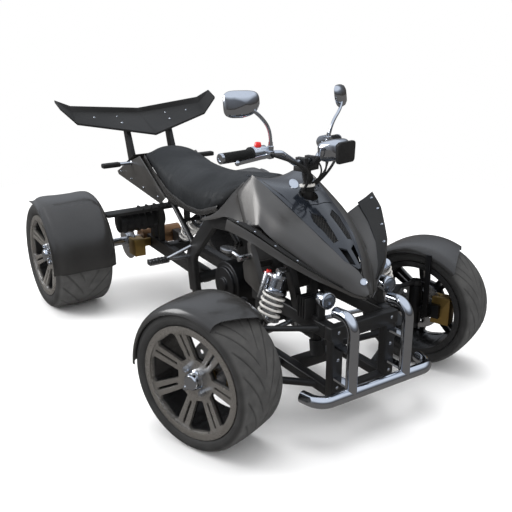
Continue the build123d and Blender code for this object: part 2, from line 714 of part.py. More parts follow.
def rear_caliper():
    """Caliper ahead of the rear disc, on a plate from the carrier."""
    x = REAR_DISC_X + DISC_T / 2
    z = REAR_TYRE_R
    body = block((x - 28, REAR_Y - 152, z - 44), (x + 28, REAR_Y - 74, z + 40))
    slot = rod((x - 8, REAR_Y, z), (x + 8, REAR_Y, z), REAR_DISC_R + 8)
    plate_low = x + 12
    plate = block((plate_low, REAR_Y - 90, z - 20), (-SWING_X - SWING_W / 2 - FIT_GAP, REAR_Y - 74, z + 20))
    return body - slot + plate


def rear_motor():
    """Ribbed cylinder above the axle with its saddle on the right arm."""
    x_low, x_high, y, z, r = REAR_MOTOR
    pieces = [rod((x_low, y, z), (x_high, y, z), r)]
    for x in range(round(x_low) + 24, round(x_high) - 10, 34):
        pieces.append(rod((x, y, z), (x + 8, y, z), r + 5))
    pieces.append(block((-SWING_X - 14, y - 30, REAR_TYRE_R), (-SWING_X + 14, y + 14, z)))
    return fused(pieces) - swing_beam(-1, FIT_GAP)


def damper_foot():
    """Block on the lower wishbone that carries the damper's lower eye."""
    x, y, z = FRONT_DAMPER_LOW
    top = z - DAMPER_EYE_R - FIT_GAP
    return block((x - DAMPER_EYE_W, y - 13, BALL_LOW_Z - 8), (x + DAMPER_EYE_W, y + 13, top))


def reservoir():
    """Piggyback cylinder beside the damper's body, on a bridge."""
    top, low = Vector(*FRONT_DAMPER_TOP), Vector(*FRONT_DAMPER_LOW)
    run = (low - top).normalized()
    aside = Vector(0, 1, 0) * RESERVOIR_OFFSET
    start = top + run * 22 + aside
    bridge = rod(tuple(top + run * 30), tuple(top + run * 30 + aside), 11)
    return rod(tuple(start), tuple(start + run * RESERVOIR_L), RESERVOIR_R) + bridge


def damper(top, low, body_r, rod_r, coil_r, body_share, low_share, high_share):
    """Body at the top, rod below, an eye across at each end and two spring seats."""
    start, end = Vector(*top), Vector(*low)
    run = end - start
    middle = start + run * body_share
    pieces = [
        rod(tuple(start + run.normalized() * (DAMPER_EYE_R + 2)), tuple(middle), body_r),
        rod(tuple(start), tuple(end), rod_r),
    ]
    for point in (start, end):
        across = Vector(DAMPER_EYE_W, 0, 0)
        pieces.append(rod(tuple(point - across), tuple(point + across), DAMPER_EYE_R))
    for share in (low_share, high_share):
        seat = start + run * share
        back = seat + run.normalized() * SPRING_SEAT_T
        pieces.append(rod(tuple(seat), tuple(back), coil_r + SPRING_WIRE / 2))
    return fused(pieces)


def spring(top, low, coil_r, low_share, high_share, turns):
    """Coil between the two spring seats of a damper."""
    start = Vector(*top)
    run = Vector(*low) - start
    room = run.length * (high_share - low_share) - SPRING_SEAT_T
    height = room - SPRING_WIRE - 2 * FIT_GAP
    coil = Helix(pitch=height / turns, height=height, radius=coil_r)
    profile = Plane(origin=coil @ 0, x_dir=(1, 0, 0), z_dir=coil % 0) * Rectangle(SPRING_WIRE, SPRING_WIRE)
    wire = sweep(profile, path=coil, is_frenet=True)
    first = start + run * low_share + run.normalized() * (SPRING_SEAT_T + SPRING_WIRE / 2 + FIT_GAP)
    return Plane(origin=tuple(first), z_dir=run) * wire


# Bodywork


def fairing():
    """Grey shell of one side: hood edge, shoulder, crease, flange and its turned-down skirt."""
    faces = []
    for y, hood, shoulder, crease, flange, skirt in FAIRING_STATIONS:
        top = [hood, shoulder, crease, flange, (flange[0] + skirt[0], flange[1] - skirt[1])]
        under = [(flange[0] + skirt[0] - SHELL, flange[1] - skirt[1]), (flange[0] - SHELL, flange[1] - SHELL),
                 (crease[0] - 1, crease[1] - SHELL), (shoulder[0] - SHELL, shoulder[1] - SHELL),
                 (hood[0], hood[1] - SHELL)]
        faces.append(section(y, top + under))
    return loft(faces, ruled=True) - behind_fairing(0)


def panel_bracket(shell):
    """Strap from the outer face of a spar up to the underside of the fairing."""
    x = SPAR_X + SPAR_T / 2 + FIT_GAP
    y = BRACKET_Y
    z = SPAR_PATH[0][1] - 10
    foot = block((x, y - 15, z - 20), (x + 6, y + 15, z + 20))
    strap = foot + beam((x + 3, y, z + 14), (SPAR_X + 74, y, z + 58), 30, 6)
    return (strap - shell).solids().sort_by(Axis.Z)[0]


def winglet():
    """Black plate bolted along the inner face of the fairing's flange."""
    faces = []
    for y, _, _, crease, flange, _ in FAIRING_STATIONS:
        if not WINGLET_FRONT <= y <= WINGLET_BACK:
            continue
        low = [c + (f - c) * 0.45 for c, f in zip(crease, flange)]
        under = [(low[0], low[1] + FIT_GAP), (flange[0], flange[1] + FIT_GAP)]
        faces.append(section(y, under + [(x, z + WINGLET_T) for x, z in reversed(under)]))
    return loft(faces, ruled=True)


def hood_skin(drop, thickness):
    """Crowned sheet between the fairing's edges, its top face drop below the hood's."""
    faces = []
    for (y, edge, *_), crown in zip(FAIRING_STATIONS, HOOD_CROWN):
        x, z = edge[0] - FIT_GAP, edge[1] - drop
        top = [(-x, z), (-x * 0.55, z + crown * 0.8), (0, z + crown), (x * 0.55, z + crown * 0.8), (x, z)]
        faces.append(section(y, top + [(a, b - thickness) for a, b in reversed(top)]))
    return loft(faces, ruled=True)


def hood():
    """Gloss centre piece between the fairing's edges, holed for the column and the grilles."""
    hole = rod(column_at(HEAD_LOW), column_at(COLUMN_TOP[2]), COLUMN_R + HOOD_COLUMN_GAP)
    return hood_skin(0, SHELL) - hole - grille_prisms(GRILLE_OUTLINE, 0) - grille_prisms(MOUTH_OUTLINE, 0)


def grilles():
    """Sheets that close the two grille openings from below."""
    sheet = hood_skin(SHELL + FIT_GAP, GRILLE_T)
    return [sheet & prism for prism in grille_prisms(GRILLE_OUTLINE, GRILLE_LAP)]


def grille_prisms(outline, grow):
    """Upright prisms through the hood, one on each side."""
    face = make_face(Polyline(*[(x, y, 0) for x, y in outline], close=True))
    if grow:
        face = offset(face, grow, kind=Kind.INTERSECTION)
    return both(extrude(face, amount=COLUMN_TOP[2], dir=(0, 0, 1)))


def seat():
    """Saddle: crowned top, sides that droop over the spars."""
    faces = []
    for y, top, width, side_z, half, raised in SEAT_STATIONS:
        base = raised or rail_z(y) + SEAT_RAIL_R + FIT_GAP
        low = min(side_z, base - FIT_GAP / 3)
        right = [(0, top), (width * 0.6, top - 5), (width, top - 20), (half, (top + low) / 2 + 14),
                 (half, low), (half - SEAT_SKIRT, low), (half - SEAT_SKIRT, base)]
        faces.append(section(y, right + [(-x, z) for x, z in reversed(right[1:])]))
    return loft(faces, ruled=True)


def behind_fairing(shift):
    """Block behind the slanted line where the fairing ends."""
    line = [(y + shift, z) for y, z in FAIRING_BACK]
    return plate_x(line + [(0, FAIRING_BACK[-1][1]), (0, FAIRING_BACK[0][1])], 0, GUARD_X + SPAR_X)


def side_panel(saddle):
    """Skin that carries on from the fairing, under the edge of the seat."""
    faces = []
    for y, *line in SIDE_PANEL_STATIONS:
        faces.append(section(y, line + [(x - SHELL, z) for x, z in reversed(line)]))
    skin = (loft(faces, ruled=True) & behind_fairing(FIT_GAP * 1.5)) - saddle
    return skin.solids().sort_by(SortBy.VOLUME)[-1]


def foot_guard():
    """Faceted panel beside the battery, on a boss."""
    base = station_x(GUARD_X, GUARD)
    raised = station_x(GUARD_X + GUARD_T, [(y * 0.72 + GUARD_MID[0] * 0.28, z * 0.72 + GUARD_MID[1] * 0.28)
                                           for y, z in GUARD])
    panel = loft([base, raised], ruled=True)
    boss_low = SPAR_X - SPAR_T / 2 - 2 + FIT_GAP
    return panel + rod((boss_low, GUARD_MID[0], GUARD_MID[1]), (GUARD_X, GUARD_MID[0], GUARD_MID[1]), 12)


def tail_panel():
    """Plate under the back of the seat, on a boss from the seat rail."""
    plate = plate_x(TAIL_PANEL, TAIL_PANEL_X, TAIL_PANEL_X + SHELL)
    y = TAIL_BOSS_Y
    boss = rod((SEAT_RAIL_X + SEAT_RAIL_R * 0.5, y, rail_z(y)), (TAIL_PANEL_X, y, rail_z(y)), 10)
    return plate + (boss - rail_tube(SEAT_RAIL_R + FIT_GAP))


def tail_plate():
    """Sheet across the tail."""
    (y0, z0), (y1, z1) = TAIL_PLATE
    x = TAIL_PANEL_X - FIT_GAP
    t = TAIL_PLATE_T
    return plate_x([(y0, z0), (y1, z1), (y1, z1 - t), (y0, z0 - t)], -x, x)


def rear_signal():
    """Short stalk and lens from the tail panel."""
    y, z = SIGNAL
    x = TAIL_PANEL_X + SHELL + FIT_GAP
    knee = (x + 68, y + 16, z + 3)
    panel_side = block((x - 20, y - 40, z - 40), (x, y + 40, z + 40))
    stalk = rod((x - 4, y - 1, z), knee, 7) - panel_side
    return stalk + beam((x + 60, y + 12, z + 3), (x + 146, y + 58, z + 9), 34, 20)


def wing():
    """Swept plate with a raised back lip and upturned ends."""
    faces = []
    for x, front, fold, lip in WING_STATIONS:
        (yf, zf), (yb, zb), (yl, zl) = front, fold, lip
        upper = [(yf, zf), (yf + 2, zf + WING_T), (yb - WING_T, zb + WING_T), (yl - WING_T, zl)]
        faces.append(station_x(x, upper + [lip, fold]))
    half = loft(faces, ruled=True)
    return half + mirror(half, about=Plane.YZ)


def wing_post(blade):
    (y0, z0), (y1, z1) = WING_POST
    (ya, za), (yb, zb) = TAIL_PLATE
    slope = (zb - za) / (yb - ya)
    foot = [(y, za + slope * (y - ya) + FIT_GAP) for y in (y0 - 24, y0 + 22)]
    post = plate_x(foot + [(y1 + 18, z1), (y1 - 18, z1)], WING_POST_X - WING_POST_T / 2,
                   WING_POST_X + WING_POST_T / 2)
    kept = (post - blade).solids().sort_by(Axis.Z)
    return kept[0]


def bumper():
    """Two hooped uprights on a cross tube with its ends swept back, on four tabs."""
    z = BUMPER_LOW_Z
    end = (BUMPER_HALF + 18, BUMPER_Y + 76, z)
    line = [(-end[0], end[1], z), (-BUMPER_HALF, BUMPER_Y, z), (BUMPER_HALF, BUMPER_Y, z), end]
    pieces = [bent_tube(line, 55, BUMPER_R)]
    for sign in SIDES:
        x = sign * BUMPER_UP_X
        hoop = [(x, BUMPER_Y, z), (x, BUMPER_Y, BUMPER_TOP_Z), (x, BUMPER_Y + 92, BUMPER_TOP_Z - 8)]
        pieces.append(bent_tube(hoop, 48, BUMPER_R - 1))
        for tab_z in BUMPER_TABS:
            tab_end = BULKHEAD_Y - BULKHEAD_D / 2 - FIT_GAP
            pieces.append(block((x - 16, BUMPER_Y, tab_z), (x + 16, tab_end, tab_z + 8)))
    return fused(pieces)


def lamp():
    x, y, z = LAMP
    body = lathe([(-4, 0), (-16, LAMP_R - 8), (-16, LAMP_R - 4), (-4, LAMP_R), (24, LAMP_R - 2),
                  (40, LAMP_R * 0.5), (40, 0)])
    return Plane(origin=(x, y, z), x_dir=(0, 1, 0), z_dir=(0, 0, 1)) * body


def lamp_bracket():
    """Stem from the upper rail to the lamp's back, with a ribbed block beside it."""
    x, y, z = LAMP
    stem = beam((RAIL_X, y + 30, RAIL_TOP), (RAIL_X, y + 30, z - LAMP_R * 0.6), 26, 20)
    base = block((RAIL_X - 16, y + 20, RAIL_TOP), (RAIL_X + 20, y + 110, RAIL_TOP + 14))
    pieces = [stem, base]
    for i in range(4):
        rib_y = y + 52 + 14 * i
        pieces.append(block((RAIL_X - 16, rib_y, RAIL_TOP), (RAIL_X + 46, rib_y + 8, RAIL_TOP + 74)))
    return fused(pieces) - lamp()


def foot_peg():
    """Triangular bracket off the spar with a toothed peg."""
    x = SPAR_X + SPAR_T / 2 + FIT_GAP
    y, z = PEG
    root = (x + PEG_ROOT, y, z)
    bracket = rod((x - 8, y - 56, z + 60), root, 8) + rod((x - 8, y - 36, z + 6), root, 8)
    inner = block((x - 40, y - 120, z - 120), (x, y + 120, z + 120))
    peg = block((x + PEG_ROOT - 8, y - 16, z - 12), (x + PEG_ROOT + 84, y + 16, z + 10))
    for i in range(5):
        tooth = x + PEG_ROOT + 4 + 16 * i
        peg = peg - block((tooth, y - 17, z + 5), (tooth + 8, y + 17, z + 11))
    return bracket - inner + peg


def pedal():
    """Brake pedal: oval pad on a cranked lever that pivots beside the guard."""
    x, y, z = PEDAL
    pad = Pos(x, y, z) * extrude(Ellipse(26, 38), amount=10)
    lever = rod((x, y - 20, z + 4), (x, PEDAL_PIVOT_Y, z - 4), 7)
    pivot = rod((GUARD_X + GUARD_T + FIT_GAP, PEDAL_PIVOT_Y, z - 4), (x + 12, PEDAL_PIVOT_Y, z - 4), 11)
    return fused([pad, lever, pivot])


def rear_fender():
    """Deep mudguard over the top and front of a rear tyre, with an inner wall and a flared lip."""
    r = REAR_FENDER_R
    half = REAR_TYRE_W / 2
    t = FENDER_T
    wall = -half - REAR_WALL_GAP
    outer = [(wall, r - 58), (wall, r - 26), (-half + 20, r), (half - 14, r), (half + 4, r - 14),
             (half + 22, r - 12)]
    inner = [(half + 22, r - 12 - t), (half + 2, r - 14 - t), (half - 16, r - t), (-half + 22, r - t),
             (wall + t, r - 28), (wall + t, r - 58)]
    shell = lathe(outer + inner, arc=98, start=-4)
    return rear_centre(1) * shell


def rear_stay(guards):
    """Cross stay between the rear mudguards on two posts from the swingarm."""
    y, z = STAY
    reach = REAR_TRACK / 2 - REAR_TYRE_W / 2 - REAR_WALL_GAP + FENDER_T / 2
    pieces = [block((-reach, y - 34, z - 7), (reach, y + 34, z + 7))]
    for i in range(-4, 5):
        pieces.append(block((i * 42 - 5, y - 34, z), (i * 42 + 5, y + 34, z + 14)))
    for sign in SIDES:
        post = block((sign * SWING_X - 14, y - 30, REAR_TYRE_R), (sign * SWING_X + 14, y - 12, z))
        pieces.append(post - swing_beam(sign, FIT_GAP))
    return fused(pieces) - guards


# Steering gear, drawn with the bars straight


def column(bar):
    """Steering column with its drop arm, bar clamps and pod bracket."""
    foot = column_at(COLUMN_FOOT[2])
    arm_z = foot[2] + 8
    pin_top = tuple(track_rod_inner(-1) + column_axis().direction * 14)
    pod_back = (0, POD[1] + POD_SIZE[1] / 2 - 10, POD[2] - 14)
    pieces = [
        rod(column_at(COLUMN_END), COLUMN_TOP, COLUMN_R),
        beam((0, foot[1], arm_z), (0, foot[1] + STEER_ARM, arm_z), 30, 14),
        rod((0, foot[1] + STEER_ARM, arm_z - 7), (0, foot[1] + STEER_ARM, arm_z + 7), ROD_EYE_R),
        rod((0, foot[1] + STEER_ARM, arm_z), pin_top, ROD_PIN_R),
        block((-48, COLUMN_TOP[1] - 24, COLUMN_TOP[2] - 14), (48, COLUMN_TOP[1] + 22, COLUMN_TOP[2] + 6)),
        beam((0, COLUMN_TOP[1] - 20, COLUMN_TOP[2]), pod_back, 44, 10) - pod(),
    ]
    for sign in SIDES:
        clamp = block((sign * 30 - 12, COLUMN_TOP[1] - 22, COLUMN_TOP[2] + 6),
                      (sign * 30 + 12, COLUMN_TOP[1] + 20, COLUMN_TOP[2] + 34))
        pieces.append(clamp)
    return fused(pieces) - bar


def handlebar(radius):
    inner = [(-x, y, z) for x, y, z in reversed(BAR_POINTS)]
    return bent_tube(inner + BAR_POINTS, BAR_BEND_R, radius)


def grip_run():
    """End of the bar and the direction of its last stretch."""
    inner, end = Vector(*BAR_POINTS[-2]), Vector(*BAR_POINTS[-1])
    return end, (end - inner).normalized()


def grip():
    end, run = grip_run()
    start = end - run * GRIP_L
    sleeve = rod(tuple(start), tuple(end + run * GRIP_CAP), GRIP_R)
    sleeve = sleeve + rod(tuple(start), tuple(start + run * GRIP_FLANGE), GRIP_R + 7)
    return sleeve - rod(tuple(start - run), tuple(end + run * FIT_GAP), BAR_R + FIT_GAP)


def control():
    """Switch housing and lever perch round the bar, with the lever ahead of the grip."""
    end, run = grip_run()
    start = end - run * (GRIP_L + FIT_GAP)
    perch_at = start - run * 44
    tip = start + run * 96 + Vector(0, -38, -14)
    pieces = [
        rod(tuple(start - run * 58), tuple(start), 24),
        beam(tuple(perch_at), tuple(perch_at + Vector(0, -46, -4)), 26, 24),
        beam(tuple(perch_at + Vector(0, -40, -4)), tuple(tip), 12, 12),
        Pos(*tip) * Sphere(9),
        rod((MIRROR_FOOT[0], MIRROR_FOOT[1], MIRROR_FOOT[2] - 30), MIRROR_FOOT, 11),
    ]
    return fused(pieces)


def mirror_head():
    """Bent stalk and a domed head that faces the rider."""
    x, y, z = MIRROR
    foot = (MIRROR_FOOT[0], MIRROR_FOOT[1], MIRROR_FOOT[2] + 3 * FIT_GAP)
    stalk = bent_tube([foot] + MIRROR_STALK + [(x - 24, y - 20, z - 14)], 20, 6)
    yaw = radians(MIRROR_YAW)
    back = Plane(origin=(x, y, z), x_dir=(cos(yaw), sin(yaw), 0), z_dir=(sin(yaw), -cos(yaw), 0))
    dome = loft([
        back * (Pos(0, 0, -4) * RectangleRounded(MIRROR_W, MIRROR_H, 26)),
        back * (Pos(0, 0, 10) * RectangleRounded(MIRROR_W - 8, MIRROR_H - 8, 24)),
        back * (Pos(0, 0, 26) * RectangleRounded(MIRROR_W * 0.6, MIRROR_H * 0.56, 16)),
    ], ruled=True)
    return stalk + dome


def pod():
    """Instrument housing: rounded shell, wider at its front."""
    x, y, z = POD
    w, d, h = POD_SIZE
    back = Plane(origin=(x, y + d / 2, z), x_dir=(-1, 0, 0), z_dir=(0, 1, 0))
    front = Plane(origin=(x, y - d / 2 + POD_PANEL_T, z), x_dir=(-1, 0, 0), z_dir=(0, 1, 0))
    shapes = [front * RectangleRounded(w, h, 18), back * RectangleRounded(w * 0.8, h * 0.72, 14)]
    return loft(shapes, ruled=True)


def pod_panel():
    x, y, z = POD
    w, d, h = POD_SIZE
    front = Plane(origin=(x, y - d / 2 + POD_PANEL_T - FIT_GAP, z), x_dir=(1, 0, 0), z_dir=(0, -1, 0))
    return front * extrude(RectangleRounded(w + 4, h + 4, 14), amount=POD_PANEL_T)


def cable():
    """Control cable from the lever perch in to the column."""
    end, run = grip_run()
    perch = end - run * (GRIP_L + FIT_GAP + 44)
    points = [tuple(perch + Vector(0, -46.6, -4)), tuple(perch + Vector(0, -72, -6)),
              (90, COLUMN_TOP[1] - 66, COLUMN_TOP[2] + 14), (42, COLUMN_TOP[1] - 42, COLUMN_TOP[2] - 50),
              (COLUMN_R + 8, column_at(CABLE_END_Z + 6)[1], CABLE_END_Z)]
    return bent_tube(points, 16, CABLE_R)


def track_rod_inner(sign):
    """Middle of an inner eye on the drop arm's pin; the right rod's eye sits above the left one's."""
    foot = column_at(COLUMN_FOOT[2])
    height = ROD_EYE_LOW if sign > 0 else ROD_EYE_LOW + ROD_EYE_H + 2
    return Vector(0, foot[1] + STEER_ARM, foot[2] + 8) + column_axis().direction * height


def track_rod(sign):
    """Rod with an eye on the drop arm's pin and a roomier one on the steering arm's pin."""
    inner = turned_point(track_rod_inner(sign), column_axis())
    kingpin = Axis((sign * KINGPIN_X, FRONT_Y, 0), (0, 0, 1))
    outer = turned_point(Vector(sign * KINGPIN_X, FRONT_Y + STEER_ARM, FRONT_TYRE_R - 5), kingpin)
    lean = column_axis().direction
    ends = ((inner, lean, ROD_PIN_R + COLUMN_BORE_GAP), (outer, Vector(0, 0, 1), ROD_PIN_R + ROD_PIN_DRIFT))
    shaped = rod(tuple(inner), tuple(outer), 9)
    for point, axis, _ in ends:
        lift = axis * ROD_EYE_H / 2
        shaped = shaped + rod(tuple(point - lift), tuple(point + lift), ROD_EYE_R)
    for point, axis, bore in ends:
        shaped = shaped - rod(tuple(point - axis * 30), tuple(point + axis * 30), bore)
    return shaped


def build():
    """Every node of the part, by name."""
    nodes = {}

    # Wheels
    front_tyre = tyre(FRONT_TYRE_R, FRONT_TYRE_W, FRONT_RIM_W, FRONT_SEAT_R)
    front_rim = rim(FRONT_RIM_W, FRONT_SEAT_R)
    hub = front_hub()
    for name, sign in (("left", 1), ("right", -1)):
        nodes[f"front_tyre_{name}"] = [front_wheel_piece(front_tyre, sign)]
        nodes[f"front_rim_{name}"] = [front_wheel_piece(front_rim, sign)]
        nodes[f"front_hub_{name}"] = [front_wheel_piece(hub, sign)]
    nodes["rear_tyres"] = rear_wheel_pieces(tyre(REAR_TYRE_R, REAR_TYRE_W, REAR_RIM_W, REAR_SEAT_R))
    nodes["rear_rims"] = rear_wheel_pieces(rim(REAR_RIM_W, REAR_SEAT_R))
    nodes["rear_axle"] = [rear_axle()]

    # Front corners
    fender = front_fender()
    upright = knuckle() + (front_stay() - fender)
    caliper = front_caliper()
    for name, sign in (("left", 1), ("right", -1)):
        nodes[f"knuckle_{name}"] = [steered(side(upright, sign), sign)]
        nodes[f"front_caliper_{name}"] = [steered(side(caliper, sign), sign)]
        nodes[f"front_fender_{name}"] = [steered(side(fender, sign), sign)]

    # Frame
    shell = fairing()
    nodes["front_bulkhead"] = [bulkhead()]
    nodes["frame_rails"] = both(upper_rail()) + both(lower_rail())
    nodes["main_spars"] = both(spar())
    nodes["head_tube"] = [head_tube()]
    nodes["cross_members"] = cross_members()
    nodes["seat_rails"] = both(seat_rail()) + tail_cross()
    nodes["frame_brackets"] = []
    post = frame_upright() - lower_rail()
    for bracket in (post, shock_tower(), seat_strut(), panel_bracket(shell), lamp_bracket()):
        nodes["frame_brackets"] += both(bracket)

    # Power and suspension
    nodes["battery_box"] = [battery_box()]
    nodes["motor_casing"] = [motor()]
    nodes["rear_motor"] = [rear_motor()]
    nodes["swingarm"] = [swingarm()]
    nodes["axle_carrier"] = [axle_carrier()]
    nodes["rear_caliper"] = [rear_caliper()]
    upper = wishbone(BALL_TOP_Z, UPPER_ARM_Z, RAIL_X + RAIL_W / 2 + FIT_GAP, *UPPER_ARM_Y, 10)
    lower = wishbone(BALL_LOW_Z, LOWER_ARM_Z, LEG_X + LOW_RAIL / 2 + FIT_GAP, *LOWER_ARM_Y, 13)
    nodes["wishbones"] = both(upper) + both(lower + damper_foot())
    rear_top = (0, REAR_DAMPER_TOP_Y, strut_z(REAR_DAMPER_TOP_Y))
    rear_low = (0, *REAR_DAMPER_LOW)
    front_damper = damper(FRONT_DAMPER_TOP, FRONT_DAMPER_LOW, *FRONT_DAMPER) + reservoir()
    rear_damper = damper(rear_top, rear_low, *REAR_DAMPER) - damper_bar(DAMPER_BAR_R + FIT_GAP)
    nodes["dampers"] = both(front_damper) + [rear_damper]
    front_spring = spring(FRONT_DAMPER_TOP, FRONT_DAMPER_LOW, FRONT_DAMPER[2], *FRONT_DAMPER[4:], FRONT_TURNS)
    rear_spring = spring(rear_top, rear_low, REAR_DAMPER[2], *REAR_DAMPER[4:], REAR_TURNS)
    nodes["springs"] = both(front_spring) + [rear_spring]

    # Bodywork
    nodes["fairing"] = both(shell)
    nodes["hood"] = [hood()]
    nodes["grilles"] = grilles()
    nodes["winglets"] = both(winglet())
    saddle = seat()
    nodes["side_panels"] = both(side_panel(saddle))
    nodes["foot_guards"] = both(foot_guard())
    nodes["seat"] = [saddle]
    nodes["tail_panels"] = both(tail_panel())
    nodes["tail_plate"] = [tail_plate()]
    nodes["rear_signals"] = both(rear_signal())
    blade = wing()
    nodes["wing"] = [blade]
    nodes["wing_posts"] = both(wing_post(blade))
    nodes["bumper"] = [bumper()]
    nodes["lamps"] = both(lamp())
    nodes["foot_pegs"] = both(foot_peg())
    nodes["brake_pedal"] = [side(pedal(), -1)]
    guards = [side(rear_fender(), sign) for sign in SIDES]
    nodes["rear_fenders"] = guards
    nodes["rear_stay"] = [rear_stay(guards)]

    # Steering
    bar = handlebar(BAR_R)
    room = handlebar(BAR_R + FIT_GAP)
    nodes["steering_column"] = [with_bars(column(room))]
    nodes["handlebar"] = [with_bars(bar)]
    nodes["grips"] = [with_bars(piece) for piece in both(grip())]
    nodes["bar_controls"] = [with_bars(piece) for piece in both(control() - room)]
    nodes["mirrors"] = [with_bars(piece) for piece in both(mirror_head())]
    nodes["instrument_pod"] = [with_bars(pod())]
    nodes["pod_panel"] = [with_bars(pod_panel())]
    nodes["cables"] = [with_bars(piece) for piece in both(cable())]
    nodes["track_rod_left"] = [track_rod(1)]
    nodes["track_rod_right"] = [track_rod(-1)]
    return nodes


def export(nodes):
    os.makedirs("parts", exist_ok=True)
    shift = Pos(0, -FOOTPRINT_MID_Y, 0)
    for name, solids in nodes.items():
        placed = [shift * solid for solid in solids]
        shape = placed[0] if len(placed) == 1 else Compound(children=placed)
        export_step(shape, f"parts/{name}.step")


if __name__ == "__main__":
    export(build())
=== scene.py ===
import json
from contextlib import contextmanager
from math import atan2, cos, hypot, pi, radians, sin

import bmesh
import bpy
import numpy as np
from mathutils import Matrix, Vector


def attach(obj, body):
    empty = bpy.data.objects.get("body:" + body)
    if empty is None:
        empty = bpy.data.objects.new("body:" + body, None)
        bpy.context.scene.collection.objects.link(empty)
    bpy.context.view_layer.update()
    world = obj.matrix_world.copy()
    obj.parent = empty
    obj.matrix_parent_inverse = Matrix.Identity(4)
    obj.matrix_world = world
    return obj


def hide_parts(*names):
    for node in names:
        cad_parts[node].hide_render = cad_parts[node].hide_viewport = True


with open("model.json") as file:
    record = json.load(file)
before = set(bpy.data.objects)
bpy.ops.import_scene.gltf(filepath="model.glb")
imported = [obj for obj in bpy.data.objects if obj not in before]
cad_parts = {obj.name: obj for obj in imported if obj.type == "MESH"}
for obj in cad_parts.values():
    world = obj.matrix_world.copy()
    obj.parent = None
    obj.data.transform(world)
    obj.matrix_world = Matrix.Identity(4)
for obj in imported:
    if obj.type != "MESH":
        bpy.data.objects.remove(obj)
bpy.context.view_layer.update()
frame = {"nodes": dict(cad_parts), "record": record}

# Layout of the quad bike: millimetres from the ground midway between the axles, forward is -Y
LAYOUT_Y = 21
FRONT_Y = -695
REAR_Y = 695
KINGPIN_X = 445
STEER_AT_REST = 20
COLUMN_FOOT = (0, -636, 205)
COLUMN_TOP = (0, -549, 835)
FRONT_WHEEL = {"x": 520, "y": FRONT_Y, "radius": 239.5, "width": 205, "rim": 190, "seat": 178}
REAR_WHEEL = {"x": 492.5, "y": REAR_Y, "radius": 259, "width": 270, "rim": 252, "seat": 178}
UP = Vector((0, 0, 1))
ACROSS = Vector((1, 0, 0))


def at(x, y, z):
    """A point of the layout in the frame's metres."""
    return Vector((x, y + LAYOUT_Y, z)) / 1000


def turn_about(point, axis, angle):
    return Matrix.Translation(point) @ Matrix.Rotation(radians(angle), 4, axis) @ Matrix.Translation(-point)


def column_at(z):
    share = (z - COLUMN_FOOT[2]) / (COLUMN_TOP[2] - COLUMN_FOOT[2])
    return at(*[a + (b - a) * share for a, b in zip(COLUMN_FOOT, COLUMN_TOP)])


COLUMN_AXIS = (at(*COLUMN_TOP) - at(*COLUMN_FOOT)).normalized()
WITH_BARS = turn_about(at(*COLUMN_FOOT), COLUMN_AXIS, STEER_AT_REST)
MIRRORED = Matrix.Diagonal((-1, 1, 1, 1))
ON_BARS = (WITH_BARS, WITH_BARS @ MIRRORED)


def with_corner(sign):
    return turn_about(at(sign * KINGPIN_X, FRONT_Y, 0), UP, STEER_AT_REST)


def wheel_place(wheel, sign, steered):
    """Carries a piece that was modelled round the X axis, its face towards +X, to a wheel."""
    place = Matrix.Translation(at(sign * wheel["x"], wheel["y"], wheel["radius"]))
    if sign < 0:
        place = place @ MIRRORED
    return with_corner(sign) @ place if steered else place


# Finishes


class Tone:
    """A shader socket that takes part in sums."""

    def __init__(self, finish, socket):
        self.finish = finish
        self.socket = socket

    def math(self, operation, first, second):
        return self.finish.node("Math", {"operation": operation}, {0: first, 1: second})

    def __add__(self, other):
        return self.math("ADD", self, other)

    def __sub__(self, other):
        return self.math("SUBTRACT", self, other)

    def __rsub__(self, other):
        return self.math("SUBTRACT", other, self)

    def __mul__(self, other):
        return self.math("MULTIPLY", self, other)

    __radd__ = __add__
    __rmul__ = __mul__


class Graph:
    """Nodes of one material or of the world."""

    def __init__(self, owner):
        owner.use_nodes = True
        self.tree = owner.node_tree

    def node(self, kind, settings=None, inputs=None, out=0):
        made = self.tree.nodes.new("ShaderNode" + kind)
        for key, value in (settings or {}).items():
            setattr(made, key, value)
        for key, value in (inputs or {}).items():
            self.feed(made.inputs[key], value)
        return Tone(self, made.outputs[out])

    def feed(self, socket, value):
        if isinstance(value, Tone):
            self.tree.links.new(value.socket, socket)
        else:
            socket.default_value = value

    def between(self, share, low, high):
        ends = [tone if isinstance(tone, Tone) else (*tone, 1) for tone in (low, high)]
        return self.node("Mix", {"data_type": "RGBA", "clamp_factor": True},
                         {0: share, 6: ends[0], 7: ends[1]}, out=2)

    def spread(self, tone, low, high):
        """Stretches a tone so that low becomes 0 and high becomes 1."""
        return self.node("MapRange", None, {"Value": tone, "From Min": low, "From Max": high})


class Finish(Graph):
    """One material on Object coordinates, in metres."""

    def __init__(self, name, roughness=0.5, metallic=0.0, coat=0.0, coat_roughness=0.1, specular=0.5):
        self.material = bpy.data.materials.new(name)
        super().__init__(self.material)
        self.shader = self.tree.nodes["Principled BSDF"]
        for key, value in (("Roughness", roughness), ("Metallic", metallic), ("Coat Weight", coat),
                           ("Coat Roughness", coat_roughness), ("Specular IOR Level", specular)):
            self.shader.inputs[key].default_value = value
        self.place = self.node("TexCoord", out="Object")

    def set(self, name, value):
        self.feed(self.shader.inputs[name], value)

    def noise(self, scale, detail=4.0, stretch=(1, 1, 1)):
        spot = self.node("Mapping", None, {"Vector": self.place, "Scale": stretch})
        return self.node("TexNoise", None, {"Vector": spot, "Scale": scale, "Detail": detail})

    def bump(self, height, distance, strength=1.0):
        normal = self.node("Bump", None, {"Height": height, "Distance": distance, "Strength": strength})
        self.set("Normal", normal)


